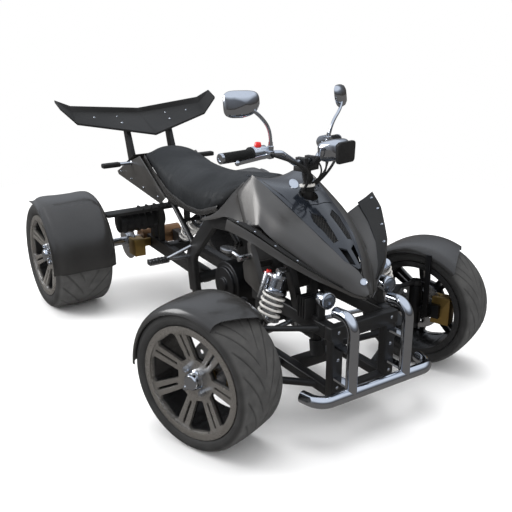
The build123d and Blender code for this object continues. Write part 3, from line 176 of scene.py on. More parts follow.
def painted(name, dark, light, roughness, metallic, coat, grain, depth, specular=0.5):
    """Paint or moulded plastic: a slow drift of tone, fine grain and a slightly uneven gloss."""
    finish = Finish(name, metallic=metallic, coat=coat, specular=specular)
    drift = finish.spread(finish.noise(5.0, 5.0), 0.35, 0.65)
    fine = finish.noise(grain, 2.0)
    finish.set("Base Color", finish.between(0.65 * drift + 0.35 * fine, dark, light))
    finish.set("Roughness", roughness + 0.06 * (finish.noise(16.0) - 0.5) + 0.04 * (fine - 0.5))
    finish.bump(fine, depth)
    return finish.material


def metal(name, dark, light, roughness, stretch, grain):
    """Bare or plated metal with streaks along its grain and faint handling marks."""
    finish = Finish(name, metallic=1.0)
    streak = finish.noise(grain, 3.0, stretch)
    smear = finish.spread(finish.noise(11.0, 5.0), 0.4, 0.7)
    finish.set("Base Color", finish.between(streak, dark, light))
    finish.set("Roughness", roughness + 0.08 * smear + 0.05 * (streak - 0.5))
    finish.bump(streak, 0.00006)
    return finish.material


def tyre_rubber():
    """Road rubber: dusty grey on the tread, also lighter there as painted light where the tread faces up;
    darker as painted shade and smoother on the walls and in the grooves.
    """
    finish = Finish("tyre", specular=0.3)
    dust = finish.spread(finish.noise(28.0, 8.0), 0.38, 0.72)
    speck = finish.noise(700.0, 2.0)
    dust_and_painted_light = finish.node("Attribute", {"attribute_name": "dust_and_painted_light"}, out="Fac")
    # the tread colour is partly dust and partly painted light on the upward tread; the wall colour is painted
    # shade on the walls and in the grooves
    wall = finish.between(0.7 * dust + 0.3 * speck, (0.022, 0.0217, 0.0213), (0.034, 0.0335, 0.033))
    tread = finish.between(0.7 * dust + 0.3 * speck, (0.052, 0.0512, 0.0503), (0.082, 0.081, 0.079))
    finish.set("Base Color", finish.between(dust_and_painted_light, wall, tread))
    finish.set("Roughness", 0.62 + 0.15 * dust + 0.1 * dust_and_painted_light)
    finish.bump(speck + 0.6 * dust, 0.0006)
    return finish.material


def wheel_paint():
    """Satin metal on the wheel's face, black paint in the wells behind it."""
    finish = Finish("wheel_grey", coat=0.1)
    sunk = finish.spread(finish.node("Attribute", {"attribute_name": "sunk"}, out="Fac"), 3.0, 12.0)
    drift = finish.noise(9.0, 3.0)
    fine = finish.noise(1300.0, 2.0)
    face = finish.between(0.5 * drift + 0.5 * fine, (0.36, 0.343, 0.322), (0.4, 0.383, 0.36))
    well = finish.between(drift, (0.02, 0.02, 0.0205), (0.034, 0.034, 0.035))
    finish.set("Base Color", finish.between(sunk, face, well))
    finish.set("Metallic", 0.85 - 0.45 * sunk)
    finish.set("Roughness", 0.25 + 0.05 * drift + 0.04 * (fine - 0.5))
    finish.bump(fine, 0.00003)
    return finish.material


def seat_vinyl():
    """Smooth upholstery vinyl with a pebbled grain and rubbed patches."""
    finish = Finish("seat_vinyl", specular=0.16)
    pebble = finish.node("TexVoronoi", None, {"Vector": finish.place, "Scale": 520.0})
    fold = finish.noise(14.0, 4.0)
    rub = finish.spread(finish.noise(6.0, 3.0), 0.35, 0.7)
    finish.set("Base Color", finish.between(rub, (0.013, 0.0142, 0.0155), (0.021, 0.0228, 0.0245)))
    finish.set("Roughness", 0.5 - 0.1 * rub + 0.06 * pebble)
    finish.bump(fold + 0.12 * pebble, 0.0012, 0.5)
    return finish.material


def mirror_glass():
    finish = Finish("mirror_glass", roughness=0.03, metallic=1.0)
    film = finish.noise(9.0, 4.0)
    finish.set("Base Color", finish.between(film, (0.4, 0.44, 0.5), (0.5, 0.54, 0.6)))
    return finish.material


def lamp_glass():
    finish = Finish("lamp_glass", roughness=0.08, metallic=0.85, coat=1.0)
    flute = finish.noise(60.0, 1.0, (1, 0.1, 4))
    finish.set("Base Color", finish.between(flute, (0.1, 0.115, 0.14), (0.24, 0.27, 0.32)))
    finish.bump(flute, 0.0008)
    return finish.material


# finish: dark tone, light tone, roughness, metallic, coat, grain, depth, sheen where it is low
PAINTS = {
    "body_grey": ((0.091, 0.0878, 0.0846), (0.116, 0.1127, 0.1084), 0.3, 0.7, 0.1, 1400.0, 0.00003),
    "guard_charcoal": ((0.031, 0.0303, 0.0297), (0.041, 0.0402, 0.0394), 0.25, 0.3, 0.25, 1100.0, 0.00003),
    "hood_black": ((0.009, 0.011, 0.015), (0.013, 0.016, 0.022), 0.12, 0.0, 0.8, 1200.0, 0.00001),
    "frame_black": ((0.011, 0.011, 0.0115), (0.02, 0.02, 0.0205), 0.42, 0.1, 0.0, 900.0, 0.00008),
    "plastic_black": ((0.012, 0.012, 0.012), (0.018, 0.018, 0.0178), 0.5, 0.0, 0.0, 1000.0, 0.00012, 0.25),
    "mesh_black": ((0.006, 0.006, 0.006), (0.012, 0.012, 0.012), 0.55, 0.0, 0.0, 900.0, 0.0001, 0.2),
    "rubber": ((0.012, 0.012, 0.012), (0.02, 0.02, 0.02), 0.7, 0.0, 0.0, 800.0, 0.00015, 0.3),
    "spring_white": ((0.62, 0.6, 0.57), (0.7, 0.69, 0.66), 0.3, 0.0, 0.3, 700.0, 0.00004),
    "gold": ((0.36, 0.23, 0.07), (0.5, 0.34, 0.12), 0.34, 0.9, 0.0, 900.0, 0.00006),
    "copper": ((0.22, 0.12, 0.06), (0.33, 0.19, 0.1), 0.36, 0.85, 0.0, 800.0, 0.00006),
    "signal_red": ((0.65, 0.012, 0.01), (0.8, 0.02, 0.016), 0.3, 0.0, 0.4, 900.0, 0.00002),
}
# finish: dark tone, light tone, roughness, stretch of the grain, grain
METALS = {
    "chrome": ((0.62, 0.65, 0.7), (0.72, 0.75, 0.8), 0.05, (1, 1, 1), 30.0),
    "steel": ((0.55, 0.56, 0.58), (0.72, 0.73, 0.75), 0.24, (1, 1, 14), 160.0),
    "cast_grey": ((0.035, 0.035, 0.036), (0.06, 0.06, 0.062), 0.42, (1, 1, 1), 420.0),
}
FINISHES = {name: painted(name, *row) for name, row in PAINTS.items()}
FINISHES.update({name: metal(name, *row) for name, row in METALS.items()})
FINISHES.update(tyre=tyre_rubber(), wheel_grey=wheel_paint(), seat_vinyl=seat_vinyl(),
                mirror_glass=mirror_glass(), lamp_glass=lamp_glass())

SLOT_OF = {row["node"]: row["material_slot"] for row in frame["record"]["subparts"]}
BODY_OF = {node: body for body, nodes in frame["record"]["behaviour"]["bodies"].items() for node in nodes}
for node, slot in SLOT_OF.items():
    mesh = frame["nodes"][node].data
    mesh.materials.clear()
    mesh.materials.append(FINISHES[slot])


# Modelling


def activate(obj):
    bpy.ops.object.select_all(action="DESELECT")
    obj.select_set(True)
    bpy.context.view_layer.objects.active = obj


@contextmanager
def editing(obj):
    """Edit mode with everything selected; gives the mesh that the operators work on."""
    activate(obj)
    bpy.ops.object.mode_set(mode="EDIT")
    bpy.ops.mesh.select_all(action="SELECT")
    yield bmesh.from_edit_mesh(obj.data)
    bpy.ops.object.mode_set(mode="OBJECT")


def modified(obj, kind, **settings):
    """Adds one modifier and applies it."""
    activate(obj)
    bpy.ops.object.modifier_add(type=kind)
    modifier = obj.modifiers[-1]
    for key, value in settings.items():
        setattr(modifier, key, value)
    bpy.ops.object.modifier_apply(modifier=modifier.name)
    return obj


def smoothed(obj, levels):
    return modified(obj, "SUBSURF", levels=levels, render_levels=levels)


def cleaned(obj, gap=1e-5):
    with editing(obj):
        bpy.ops.mesh.remove_doubles(threshold=gap)
        bpy.ops.mesh.normals_make_consistent(inside=False)
    return obj


def outward(obj):
    with editing(obj):
        bpy.ops.mesh.normals_make_consistent(inside=False)
    return obj


def pick_faces(obj, mesh, axis):
    """Selects the faces that look along an axis, in edit mode."""
    for face in mesh.faces:
        face.select = face.normal[axis] > 0.9
    bmesh.update_edit_mesh(obj.data)


def named(name):
    obj = bpy.context.object
    obj.name = name
    obj.data.name = name
    return obj


def points_of(obj):
    """Places of a mesh's vertices, one a row."""
    co = np.empty(len(obj.data.vertices) * 3)
    obj.data.vertices.foreach_get("co", co)
    return co.reshape(-1, 3)


def settled(obj):
    """Puts an object's place into its mesh."""
    obj.data.transform(obj.matrix_world)
    obj.matrix_world = Matrix.Identity(4)
    return obj


def placed(obj, matrix):
    obj.data.transform(matrix)
    if matrix.determinant() < 0:
        obj.data.flip_normals()
    return obj


def copied(obj, name, matrix):
    twin = bpy.data.objects.new(name, obj.data.copy())
    bpy.context.scene.collection.objects.link(twin)
    return placed(twin, matrix)


def joined(pieces, name):
    bpy.ops.object.select_all(action="DESELECT")
    for piece in pieces:
        piece.select_set(True)
    bpy.context.view_layer.objects.active = pieces[0]
    if len(pieces) > 1:
        bpy.ops.object.join()
    return named(name)


def keep(obj, body, finish, *nodes, angle=35):
    """Gives a finished piece its material and its body, and hides the CAD nodes that it stands for."""
    activate(obj)
    bpy.ops.object.shade_smooth_by_angle(angle=radians(angle))
    obj.data.materials.clear()
    obj.data.materials.append(FINISHES[finish])
    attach(obj, body)
    if nodes:
        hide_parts(*nodes)
    return obj


def paired(obj, name, body, finish, places, *nodes, angle=40):
    """Copies a piece to its places as one object, and drops the piece."""
    copies = [copied(obj, name, place) for place in places]
    bpy.data.objects.remove(obj)
    return keep(joined(copies, name), body, finish, *nodes, angle=angle)


def at_row(rows, y, *path):
    """One number of a table whose rows run forwards, read between the rows."""
    def pick(row):
        for step in path:
            row = row[step]
        return row

    back_to_front = rows[::-1]
    return np.interp(y, [row[0] for row in back_to_front], [pick(row) for row in back_to_front])


def panel(name, rows, creased_columns=(), creased_rows=(), sharp=0.8):
    """Sheet whose rows of points run from one edge to the other, with creased lines."""
    count, width = len(rows), len(rows[0])
    bpy.ops.mesh.primitive_grid_add(x_subdivisions=width - 1, y_subdivisions=count - 1, size=1)
    obj = named(name)
    for vertex, point in zip(obj.data.vertices, [point for row in rows for point in row]):
        vertex.co = point
    crease = obj.data.attributes.new("crease_edge", "FLOAT", "EDGE")
    for edge in obj.data.edges:
        first, last = sorted(edge.vertices)
        along = last - first == width
        if along and first % width in creased_columns or not along and first // width in creased_rows:
            crease.data[edge.index].value = sharp
    return obj


SKIN = 0.004
GUARD_SKIN = 0.0045
SHIELD_SKIN = 0.003
TRAY_SKIN = 0.002


def sheeted(obj, thickness, levels, offset=-1.0):
    """Gives a sheet its thickness and smooths it."""
    modified(obj, "SOLIDIFY", thickness=thickness, offset=offset, edge_crease_rim=0.9,
             edge_crease_outer=0.6, edge_crease_inner=0.6)
    return smoothed(obj, levels)


def both_sides(obj):
    return modified(obj, "MIRROR", use_axis=(True, False, False), merge_threshold=1e-5)


def spun(name, profile, steps, arc=360.0, start=0.0):
    """Turns an (x, r) line in millimetres about the X axis; start is the angle from -Y towards +Z."""
    a = radians(start)
    points = [Vector((x, -r * cos(a), r * sin(a))) / 1000 for x, r in profile]
    bpy.ops.mesh.primitive_plane_add(size=0.01)
    obj = named(name)
    with editing(obj):
        bpy.ops.mesh.merge(type="CENTER")
        bpy.ops.transform.translate(value=points[0])
        for first, last in zip(points, points[1:]):
            bpy.ops.mesh.extrude_region_move(TRANSFORM_OT_translate={"value": last - first})
        bpy.ops.mesh.select_all(action="SELECT")
        bpy.ops.mesh.spin(steps=steps, angle=radians(arc), center=(0, 0, 0), axis=(1, 0, 0))
    return cleaned(obj, 2e-6)


# Turned pieces: steps round, then (along the axis, radius) in millimetres
TURNED = {
    "bar_end": (36, [(121, 12), (123, 18), (130, 18), (132, 16), (132.5, 8), (130, 7.5), (130, 0.01)]),
    "kill_button": (28, [(22, 12), (29, 12), (31, 11), (35, 10.5), (37, 8.5), (37.5, 0.01)]),
    "stalk_foot": (24, [(0, 11), (8, 11), (10, 8), (22, 7.5), (23, 5)]),
    "harness_band": (40, [(0, 18), (0, 27), (1, 28), (9, 28), (10, 27), (10, 18)]),
    "lamp_lens": (40, [(0, 25.5), (2, 25), (7, 20), (10, 12), (11.5, 0.01)]),
    "lamp_rim": (40, [(-14, 26), (-14, 29), (2, 29.5), (4, 28), (4, 25.5), (0, 25)]),
    "reservoir_cap": (32, [(-8, 0.01), (-8, 8), (-7, 9.5), (1, 10), (1, 16.5), (3, 16.5)]),
    "signal_stalk": (28, [(152, 0.01), (152, 12), (157, 12), (160, 8.5), (205, 8.5), (213, 10.5), (222, 10.5),
                          (222, 0.01)]),
    "nose_disc": (40, [(0, 12.5), (2.2, 12), (2.6, 10.5), (1.6, 9.5), (1.6, 0.01)]),
}


def turned(name):
    steps, profile = TURNED[name]
    return spun(name, profile, steps)


def ribbed(count, pitch, low, high, start, end):
    """Profile of evenly spaced ribs; start and end are where a rib's crest lies in its pitch."""
    return [point for i in range(count) for point in (
        (pitch * i, low), (pitch * i + start, high), (pitch * i + end, high), (pitch * i + start + end, low))]


def tube(name, points, radius, sides=4):
    """Round tube along a smooth line through the frame's points, closed at its ends."""
    curve = bpy.data.curves.new(name, "CURVE")
    curve.dimensions = "3D"
    curve.bevel_depth = radius
    curve.bevel_resolution = sides
    curve.use_fill_caps = True
    spline = curve.splines.new("NURBS")
    spline.points.add(len(points) - 1)
    for knot, point in zip(spline.points, points):
        knot.co = (*point, 1)
    spline.order_u = 3
    spline.use_endpoint_u = True
    spline.resolution_u = 8
    obj = bpy.data.objects.new(name, curve)
    bpy.context.scene.collection.objects.link(obj)
    return obj


def tube_mesh(name, points, radius, sides=4):
    activate(tube(name, points, radius, sides))
    bpy.ops.object.convert(target="MESH")
    return named(name)


def edged(node, width, finish=None):
    """Copy of a CAD node with its edges broken, in the record's finish unless another is named."""
    obj = bpy.data.objects.new(node + "_finished", frame["nodes"][node].data.copy())
    bpy.context.scene.collection.objects.link(obj)
    with editing(obj):
        bpy.ops.mesh.remove_doubles(threshold=2e-5)
        bpy.ops.mesh.dissolve_limited(angle_limit=radians(0.4))
    modified(obj, "BEVEL", width=width / 1000, segments=2, limit_method="ANGLE", angle_limit=radians(40),
             use_clamp_overlap=True)
    return keep(obj, BODY_OF[node], finish or SLOT_OF[node], node)


def facing(point, normal):
    """Place whose Z axis looks along a normal."""
    return Matrix.Translation(point) @ Vector(normal).to_track_quat("Z", "Y").to_matrix().to_4x4()


def bolt_head():
    """Domed screw head on its washer, its seat at the origin."""
    bpy.ops.mesh.primitive_cylinder_add(vertices=16, radius=1.0, depth=0.35, location=(0, 0, 0.17))
    head = settled(named("bolt_head"))
    with editing(head) as mesh:
        pick_faces(head, mesh, 2)
        bpy.ops.mesh.inset(thickness=0.28, depth=0)
        bpy.ops.mesh.extrude_region_move(TRANSFORM_OT_translate={"value": (0, 0, 0.42)})
        bpy.ops.transform.resize(value=(0.72, 0.72, 1))
    return modified(head, "BEVEL", width=0.08, segments=2, limit_method="ANGLE", angle_limit=radians(35))


BOLT = bolt_head()


def bolts(name, body, finish, places):
    """A set of screw heads on one body: point, normal and radius in millimetres."""
    heads = []
    for point, normal, radius in places:
        size = Matrix.Diagonal((radius / 1000,) * 3 + (1,))
        heads.append(copied(BOLT, name, facing(point, normal) @ size))
    return keep(joined(heads, name), body, finish)


# Wheels


def arc_points(first, middle, last, count):
    """Points along the circle through three (x, r) points."""
    (ax, ay), (bx, by), (cx, cy) = first, middle, last
    d = 2 * (ax * (by - cy) + bx * (cy - ay) + cx * (ay - by))
    a, b, c = ax * ax + ay * ay, bx * bx + by * by, cx * cx + cy * cy
    ox = (a * (by - cy) + b * (cy - ay) + c * (ay - by)) / d
    oy = (a * (cx - bx) + b * (ax - cx) + c * (bx - ax)) / d
    start, end = atan2(ay - oy, ax - ox), atan2(cy - oy, cx - ox)
    turn = (end - start + pi) % (2 * pi) - pi
    r = hypot(ax - ox, ay - oy)
    return [(ox + r * cos(start + turn * i / count), oy + r * sin(start + turn * i / count))
            for i in range(count + 1)]


RIM_EDGE = 1.6
RIM_LIP = 6
RIM_DISH = 28
HUB_FACE_R = 64
SHOULDER_SHARE = 0.84
TREAD_STEPS = 480
TREAD_ROWS = 56
GROOVES = 18
GROOVE_DEPTH = 4.0
GROOVE_HALF = 5.0
GROOVE_SWEEP = 175


def tyre_profile(wheel):
    half = wheel["width"] / 2
    bead = wheel["rim"] / 2 - 6
    lip = wheel["seat"] + 16
    radius = wheel["radius"]
    wall = lip + (radius - lip) * 0.4
    shoulder = half * SHOULDER_SHARE
    side = arc_points((bead, lip), (half, wall), (shoulder, radius - 4), 14)
    ridge = [(x - (0.9 if i in (5, 8) else 0), r) for i, (x, r) in enumerate(side)]
    crown = arc_points((shoulder, radius - 4), (0, radius), (-shoulder, radius - 4), TREAD_ROWS)
    far = [(-x, r) for x, r in reversed(ridge)]
    return [(bead, wheel["seat"] + 1)] + ridge + crown[1:-1] + far + [(-bead, wheel["seat"] + 1)]


def cut_tread(obj, wheel):
    """Sweeps thin grooves back from the middle of the tread to both shoulders."""
    mesh = obj.data
    co = points_of(obj) * 1000
    r = np.hypot(co[:, 1], co[:, 2])
    across = np.abs(co[:, 0])
    shoulder = wheel["width"] / 2 * SHOULDER_SHARE
    round_y = np.arctan2(co[:, 2], co[:, 1]) * wheel["radius"]
    pitch = 2 * pi * wheel["radius"] / GROOVES
    share = np.clip((across - 6) / (shoulder - 6), 0, 1)
    lag = round_y + GROOVE_SWEEP * share ** 0.75 + np.where(co[:, 0] > 0, 0, pitch / 2)
    off = np.abs((lag + pitch / 2) % pitch - pitch / 2)
    mask = np.clip(1.3 - off / GROOVE_HALF, 0, 1)
    mask *= np.clip((across - 6) / 8, 0, 1) * np.clip((shoulder + 6 - across) / 8, 0, 1)
    mask *= r > wheel["radius"] - 6
    co[:, 1:] *= (1 - GROOVE_DEPTH * mask / r)[:, None]
    mesh.vertices.foreach_set("co", (co / 1000).ravel())
    # 1 on the tread, fading to 0 down the walls and lower in the grooves: the tread's lighter colour is
    # partly dust and partly painted light, and the walls and grooves get painted shade
    dust_and_painted_light = mesh.attributes.new("dust_and_painted_light", "FLOAT", "POINT")
    dust_and_painted_light.data.foreach_set("value", np.clip((r - wheel["radius"] + 16) / 9, 0, 1) * (1 - 0.7 * mask))
    mesh.update()


def wheel_cap(rim_width):
    """Chrome cap with four nuts on their washers, face towards +X."""
    face = rim_width / 2 - RIM_LIP - RIM_DISH
    cap = spun("cap", [(face - 4, 33), (face + 3, 33), (face + 6, 29.5), (face + 24, 28), (face + 29, 24),
                       (face + 30.5, 12), (face + 31, 0.01)], 40)
    nuts = []
    for turn in range(4):
        a = radians(45 + 90 * turn)
        bpy.ops.mesh.primitive_cylinder_add(vertices=6, radius=0.0115, depth=0.018)
        nut = named("nut")
        with editing(nut) as mesh:
            pick_faces(nut, mesh, 2)
            bpy.ops.mesh.inset(thickness=0.0028)
            bpy.ops.mesh.extrude_region_move(TRANSFORM_OT_translate={"value": (0, 0, 0.005)})
        modified(nut, "BEVEL", width=0.0012, segments=2, limit_method="ANGLE", angle_limit=radians(30))
        point = Vector((face + 7, 46 * cos(a), 46 * sin(a))) / 1000
        nuts.append(placed(nut, facing(point, ACROSS)))
    return joined([cap] + nuts, "wheel_cap")


def mark_wells(rims, wheel, steered):
    """Marks how far each point of the rims lies behind the dished face, in millimetres."""
    sunk = rims.data.attributes.new("sunk", "FLOAT", "POINT")
    edge = wheel["rim"] / 2 - RIM_LIP
    homes = {sign: wheel_place(wheel, sign, steered).inverted() for sign in (1, -1)}
    for vertex in rims.data.vertices:
        x, y, z = homes[1 if vertex.co.x > 0 else -1] @ vertex.co * 1000
        share = min(max((hypot(y, z) - HUB_FACE_R) / (wheel["seat"] - HUB_FACE_R), 0), 1)
        sunk.data[vertex.index].value = edge - RIM_DISH * (1 - share) - x


def dress_wheels():
    for wheel, steered in ((FRONT_WHEEL, True), (REAR_WHEEL, False)):
        tyre = spun("tyre", tyre_profile(wheel), TREAD_STEPS)
        cut_tread(tyre, wheel)
        cap = wheel_cap(wheel["rim"])
        for side, sign in (("left", 1), ("right", -1)):
            place = wheel_place(wheel, sign, steered)
            body = f"front_wheel_{side}" if steered else "rear_axle"
            node = f"front_tyre_{side}" if steered else "rear_tyres"
            end = "front" if steered else "rear"
            keep(copied(tyre, f"{end}_tyre_{side}_rubber", place), body, "tyre", node, angle=50)
            keep(copied(cap, f"{end}_cap_{side}", place), body, "chrome")
        for spare in (tyre, cap):
            bpy.data.objects.remove(spare)
    for side in ("left", "right"):
        mark_wells(edged(f"front_rim_{side}", RIM_EDGE), FRONT_WHEEL, True)
        edged(f"front_caliper_{side}", 3)
        edged(f"knuckle_{side}", 2.5, "cast_grey")
    mark_wells(edged("rear_rims", RIM_EDGE), REAR_WHEEL, False)


# Mudguards

FRONT_GUARD = [(-113, 233), (-112, 242), (-106, 250), (-92, 258), (-70, 262.5), (0, 264.5), (66, 262.5),
               (88, 257), (99, 249), (104, 241), (107, 234)]
REAR_GUARD = [(-145, 222), (-145, 250), (-141, 263), (-131, 273), (-114, 280), (-92, 283), (-66, 283),
              (-42, 281), (0, 280.5), (38, 281), (66, 283), (92, 283.5), (108, 282), (124, 277), (133, 270),
              (142, 267.5), (152, 268.5), (157, 271)]
# steps, arc and start in degrees
FRONT_GUARD_ARC = (44, 132, 48)
REAR_GUARD_ARC = (34, 98, -4)
# the slanted plane that trims the front edge: a point and its normal
FRONT_GUARD_CUT = ((-0.1225, -0.1687, 0), (0.27, -0.96, 0))


def front_guards():
    guard = spun("front_guard", FRONT_GUARD, *FRONT_GUARD_ARC)
    with editing(guard):
        point, normal = FRONT_GUARD_CUT
        bpy.ops.mesh.bisect(plane_co=point, plane_no=normal, clear_outer=True)
    sheeted(guard, GUARD_SKIN, 1)
    for side, sign in (("left", 1), ("right", -1)):
        keep(copied(guard, f"front_guard_{side}", wheel_place(FRONT_WHEEL, sign, True)), f"knuckle_{side}",
             "guard_charcoal", f"front_fender_{side}", angle=50)
    bpy.data.objects.remove(guard)


def rear_guards():
    guard = spun("rear_guard", REAR_GUARD, *REAR_GUARD_ARC)
    places = [wheel_place(REAR_WHEEL, sign, False) for sign in (1, -1)]
    paired(sheeted(guard, GUARD_SKIN, 1), "rear_guards", "chassis", "guard_charcoal", places, "rear_fenders",
           angle=50)


# Fairing: rows from the back edge to the nose, points from the hood edge out to the crease

FAIRING_ROWS = [
    [(122, -384, 788), (149, -361, 752), (165, -341, 719), (185, -398, 672), (205, -456, 626)],
    [(119, -418, 777), (143, -447, 745), (161, -477, 712), (179, -507, 678), (197, -538, 645)],
    [(95, -590, 699), (128, -590, 687), (152, -590, 668), (169, -590, 640), (186, -590, 611)],
    [(88, -640, 675), (118, -640, 664), (142, -640, 645), (157, -640, 618), (172, -640, 590)],
    [(68, -740, 622), (94, -740, 611), (112, -740, 592), (125, -740, 570), (138, -740, 548)],
    [(38, -820, 563), (60, -820, 553), (74, -820, 538), (84, -820, 520), (94, -820, 502)],
    [(4, -860, 536), (22, -860, 527), (36, -860, 513), (48, -860, 495), (60, -860, 476)],
    [(0.3, -888, 500), (12, -888, 494), (22, -888, 484), (30, -888, 473), (38, -888, 461)],
    [(0.3, -913, 466), (4, -913, 465), (8, -912, 463), (11, -911, 460), (14, -910, 456)],
]
# y, crease, flange, skirt: how far out and down it turns
FLANGE = [
    (-545, (200, 632), (330, 690), (9, 36)),
    (-640, (172, 590), (290, 658), (9, 31)),
    (-740, (138, 548), (228, 594), (7, 24)),
    (-820, (94, 502), (150, 532), (5, 17)),
    (-860, (60, 476), (84, 490), (3, 12)),
    (-888, (38, 461), (50, 465), (2, 8)),
    (-910, (14, 456), (17, 454), (1, 5)),
]
# y, half width of the edge, height of the edge, rise of the middle
HOOD_ROWS = [
    (-338, 121.7, 780, -26), (-385, 121.7, 786, -22), (-430, 116.7, 766, -8), (-525, 103.7, 731, 25),
    (-590, 94.7, 699, 28), (-640, 87.7, 675, 26), (-740, 67.7, 622, 18), (-820, 37.7, 563, 11),
    (-858, 5, 538, 2),
]
HOOD_SHARES = [i / 5 - 1 for i in range(11)]
SIDE_ROWS = [
    [(150, -363, 751), (166, -343, 718), (186, -399, 671), (205, -454, 628)],
    [(134, -345, 757), (152, -325, 728), (178, -352, 672), (204, -380, 631)],
    [(148, -286, 702), (160, -286, 684), (174, -286, 650), (192, -286, 616)],
    [(168, -192, 602), (172, -192, 598), (175, -192, 590), (178, -192, 580)],
    [(170, -75, 556), (172, -75, 552), (174, -75, 549), (175, -75, 544)],
]


def fairing():
    rows = []
    for row in FAIRING_ROWS:
        x, y, z = row[0]
        out = row[-1]
        rows.append([at(max(x - 2, 0.3), y, z - 11)] + [at(*point) for point in row]
                    + [at(out[0] - 9, out[1], out[2] - 8)])
    skin = panel("fairing_skin", rows, creased_columns=(1, 5), creased_rows=(1,), sharp=0.75)
    strip = []
    for y, crease, flange, skirt in FLANGE:
        low = (flange[0] + skirt[0], flange[1] - skirt[1])
        strip.append([at(crease[0] - 2, y, crease[1] - 6),
                      at((crease[0] + flange[0]) / 2, y, (crease[1] + flange[1]) / 2 - 3),
                      at(flange[0], y, flange[1]), at(low[0], y, low[1])])
    flange_strip = panel("flange_strip", strip, creased_columns=(2,), creased_rows=(0,), sharp=0.85)
    for part in (skin, flange_strip):
        both_sides(sheeted(outward(part), SKIN, 2))
    keep(joined([skin, flange_strip], "fairing_skin"), "chassis", "body_grey", "fairing", angle=40)


def winglets():
    rows = []
    for y, crease, flange, _ in FLANGE[:5]:
        low = [c + (f - c) * 0.42 for c, f in zip(crease, flange)]
        rows.append([at(low[0], y, low[1] + 5),
                     at((low[0] + flange[0]) / 2, y, (low[1] + flange[1]) / 2 + 3),
                     at(flange[0] - 2, y, flange[1] + 5)])
    plate = panel("winglet_plates", rows, creased_rows=(0, 4), sharp=0.9)
    sheeted(plate, SKIN, 2, offset=0.0)
    keep(both_sides(cleaned(plate)), "chassis", "plastic_black", "winglets")


def hood_height(x, y):
    """Height of the hood's top above a point of the layout."""
    half, edge, rise = (at_row(HOOD_ROWS, y, k) for k in (1, 2, 3))
    return edge + rise * (1 - min(abs(x) / half, 1) ** 2)


GRILLE_OUTLINE = [(16, -672), (46, -645), (58, -672), (40, -766), (20, -766)]
LATTICE_SIZE = 0.17
LATTICE_CELLS = 19
LATTICE_WIRE = 0.002
LATTICE_DROP = 4.2
MOUTH_OUTLINE = [(9, -798), (34, -782), (24, -836), (8, -846)]


def prism(outline, low, high):
    """Upright block over an outline, a cutter for the hood."""
    bpy.ops.mesh.primitive_circle_add(vertices=len(outline), fill_type="NGON")
    obj = named("cutter")
    for vertex, (x, y) in zip(obj.data.vertices, outline):
        vertex.co = at(x, y, low)
    with editing(obj):
        bpy.ops.mesh.extrude_region_move(TRANSFORM_OT_translate={"value": (0, 0, (high - low) / 1000)})
    return outward(obj)


def carved(obj, cutter):
    modified(obj, "BOOLEAN", operation="DIFFERENCE", solver="EXACT", object=cutter)
    bpy.data.objects.remove(cutter)
    return obj


def column_hole(y):
    """Outline of the opening that the column passes through."""
    turns = [2 * pi * i / 28 for i in range(28)]
    return [(33 * cos(a), y + 36 * sin(a)) for a in turns]


def hood():
    rows = []
    for y, half, edge, rise in HOOD_ROWS:
        rows.append([at(half * s, y, edge + rise * (1 - s * s)) for s in HOOD_SHARES])
    skin = panel("hood_skin", rows, creased_columns=(0, 10), creased_rows=(0,), sharp=0.7)
    sheeted(outward(skin), GUARD_SKIN, 2)
    for outline in (GRILLE_OUTLINE, MOUTH_OUTLINE):
        for sign in (1, -1):
            carved(skin, prism([(sign * x, y) for x, y in outline], 480, 800))
    carved(skin, prism(column_hole(-573), 600, 800))
    modified(skin, "BEVEL", width=0.0012, segments=2, limit_method="ANGLE", angle_limit=radians(50))
    keep(skin, "chassis", "hood_black", "hood", angle=40)


def grille_mesh():
    """Diamond wire lattice in each of the hood's grille openings."""
    halves = []
    for sign in (1, -1):
        bpy.ops.mesh.primitive_grid_add(x_subdivisions=LATTICE_CELLS, y_subdivisions=LATTICE_CELLS,
                                        size=LATTICE_SIZE)
        lattice = named("lattice")
        lattice.data.transform(Matrix.Rotation(radians(45), 4, "Z"))
        lattice.data.transform(Matrix.Translation(at(sign * 36, -706, 0)))
        middle = Vector((sign * 36, -710))
        with editing(lattice):
            ring = [Vector((sign * x, y)) for x, y in GRILLE_OUTLINE]
            for first, last in zip(ring, ring[1:] + ring[:1]):
                out = Vector((last.y - first.y, first.x - last.x)).normalized()
                if out.dot(middle - first) > 0:
                    out = -out
                edge = first + out * 2
                bpy.ops.mesh.select_all(action="SELECT")
                bpy.ops.mesh.bisect(plane_co=at(edge.x, edge.y, 0), plane_no=(out.x, out.y, 0),
                                    clear_outer=True)
        for vertex in lattice.data.vertices:
            x, y = vertex.co.x * 1000, vertex.co.y * 1000 - LAYOUT_Y
            vertex.co.z = (hood_height(x, y) - LATTICE_DROP) / 1000
        halves.append(modified(lattice, "WIREFRAME", thickness=LATTICE_WIRE, use_even_offset=False))
    keep(joined(halves, "grille_lattice"), "chassis", "body_grey")


def side_skins():
    skin = panel("side_skins", [[at(*p) for p in row] for row in SIDE_ROWS], creased_rows=(0,), sharp=0.8)
    skin = both_sides(sheeted(outward(skin), SKIN, 2))
    keep(skin, "chassis", "body_grey", "side_panels", angle=40)


# Saddle: y, top, half width of the top, lowest edge, half width, underside
SADDLE = [
    (618, 728, 52, 700, 96, 662), (560, 750, 80, 690, 124, 656), (430, 733, 95, 640, 141, 640),
    (270, 703, 99, 572, 144, 622), (70, 703, 95, 554, 159, 600), (-50, 719, 89, 560, 163, 604),
    (-190, 741, 79, 610, 161, 616), (-286, 757, 71, 708, 141, 664), (-332, 765, 62, 752, 124, 696),
]
SADDLE_VOXEL = 0.007
SWELL_CAP = 0.007
SWELL_PRESSURE = 4.0
SWELL_FRAMES = 16


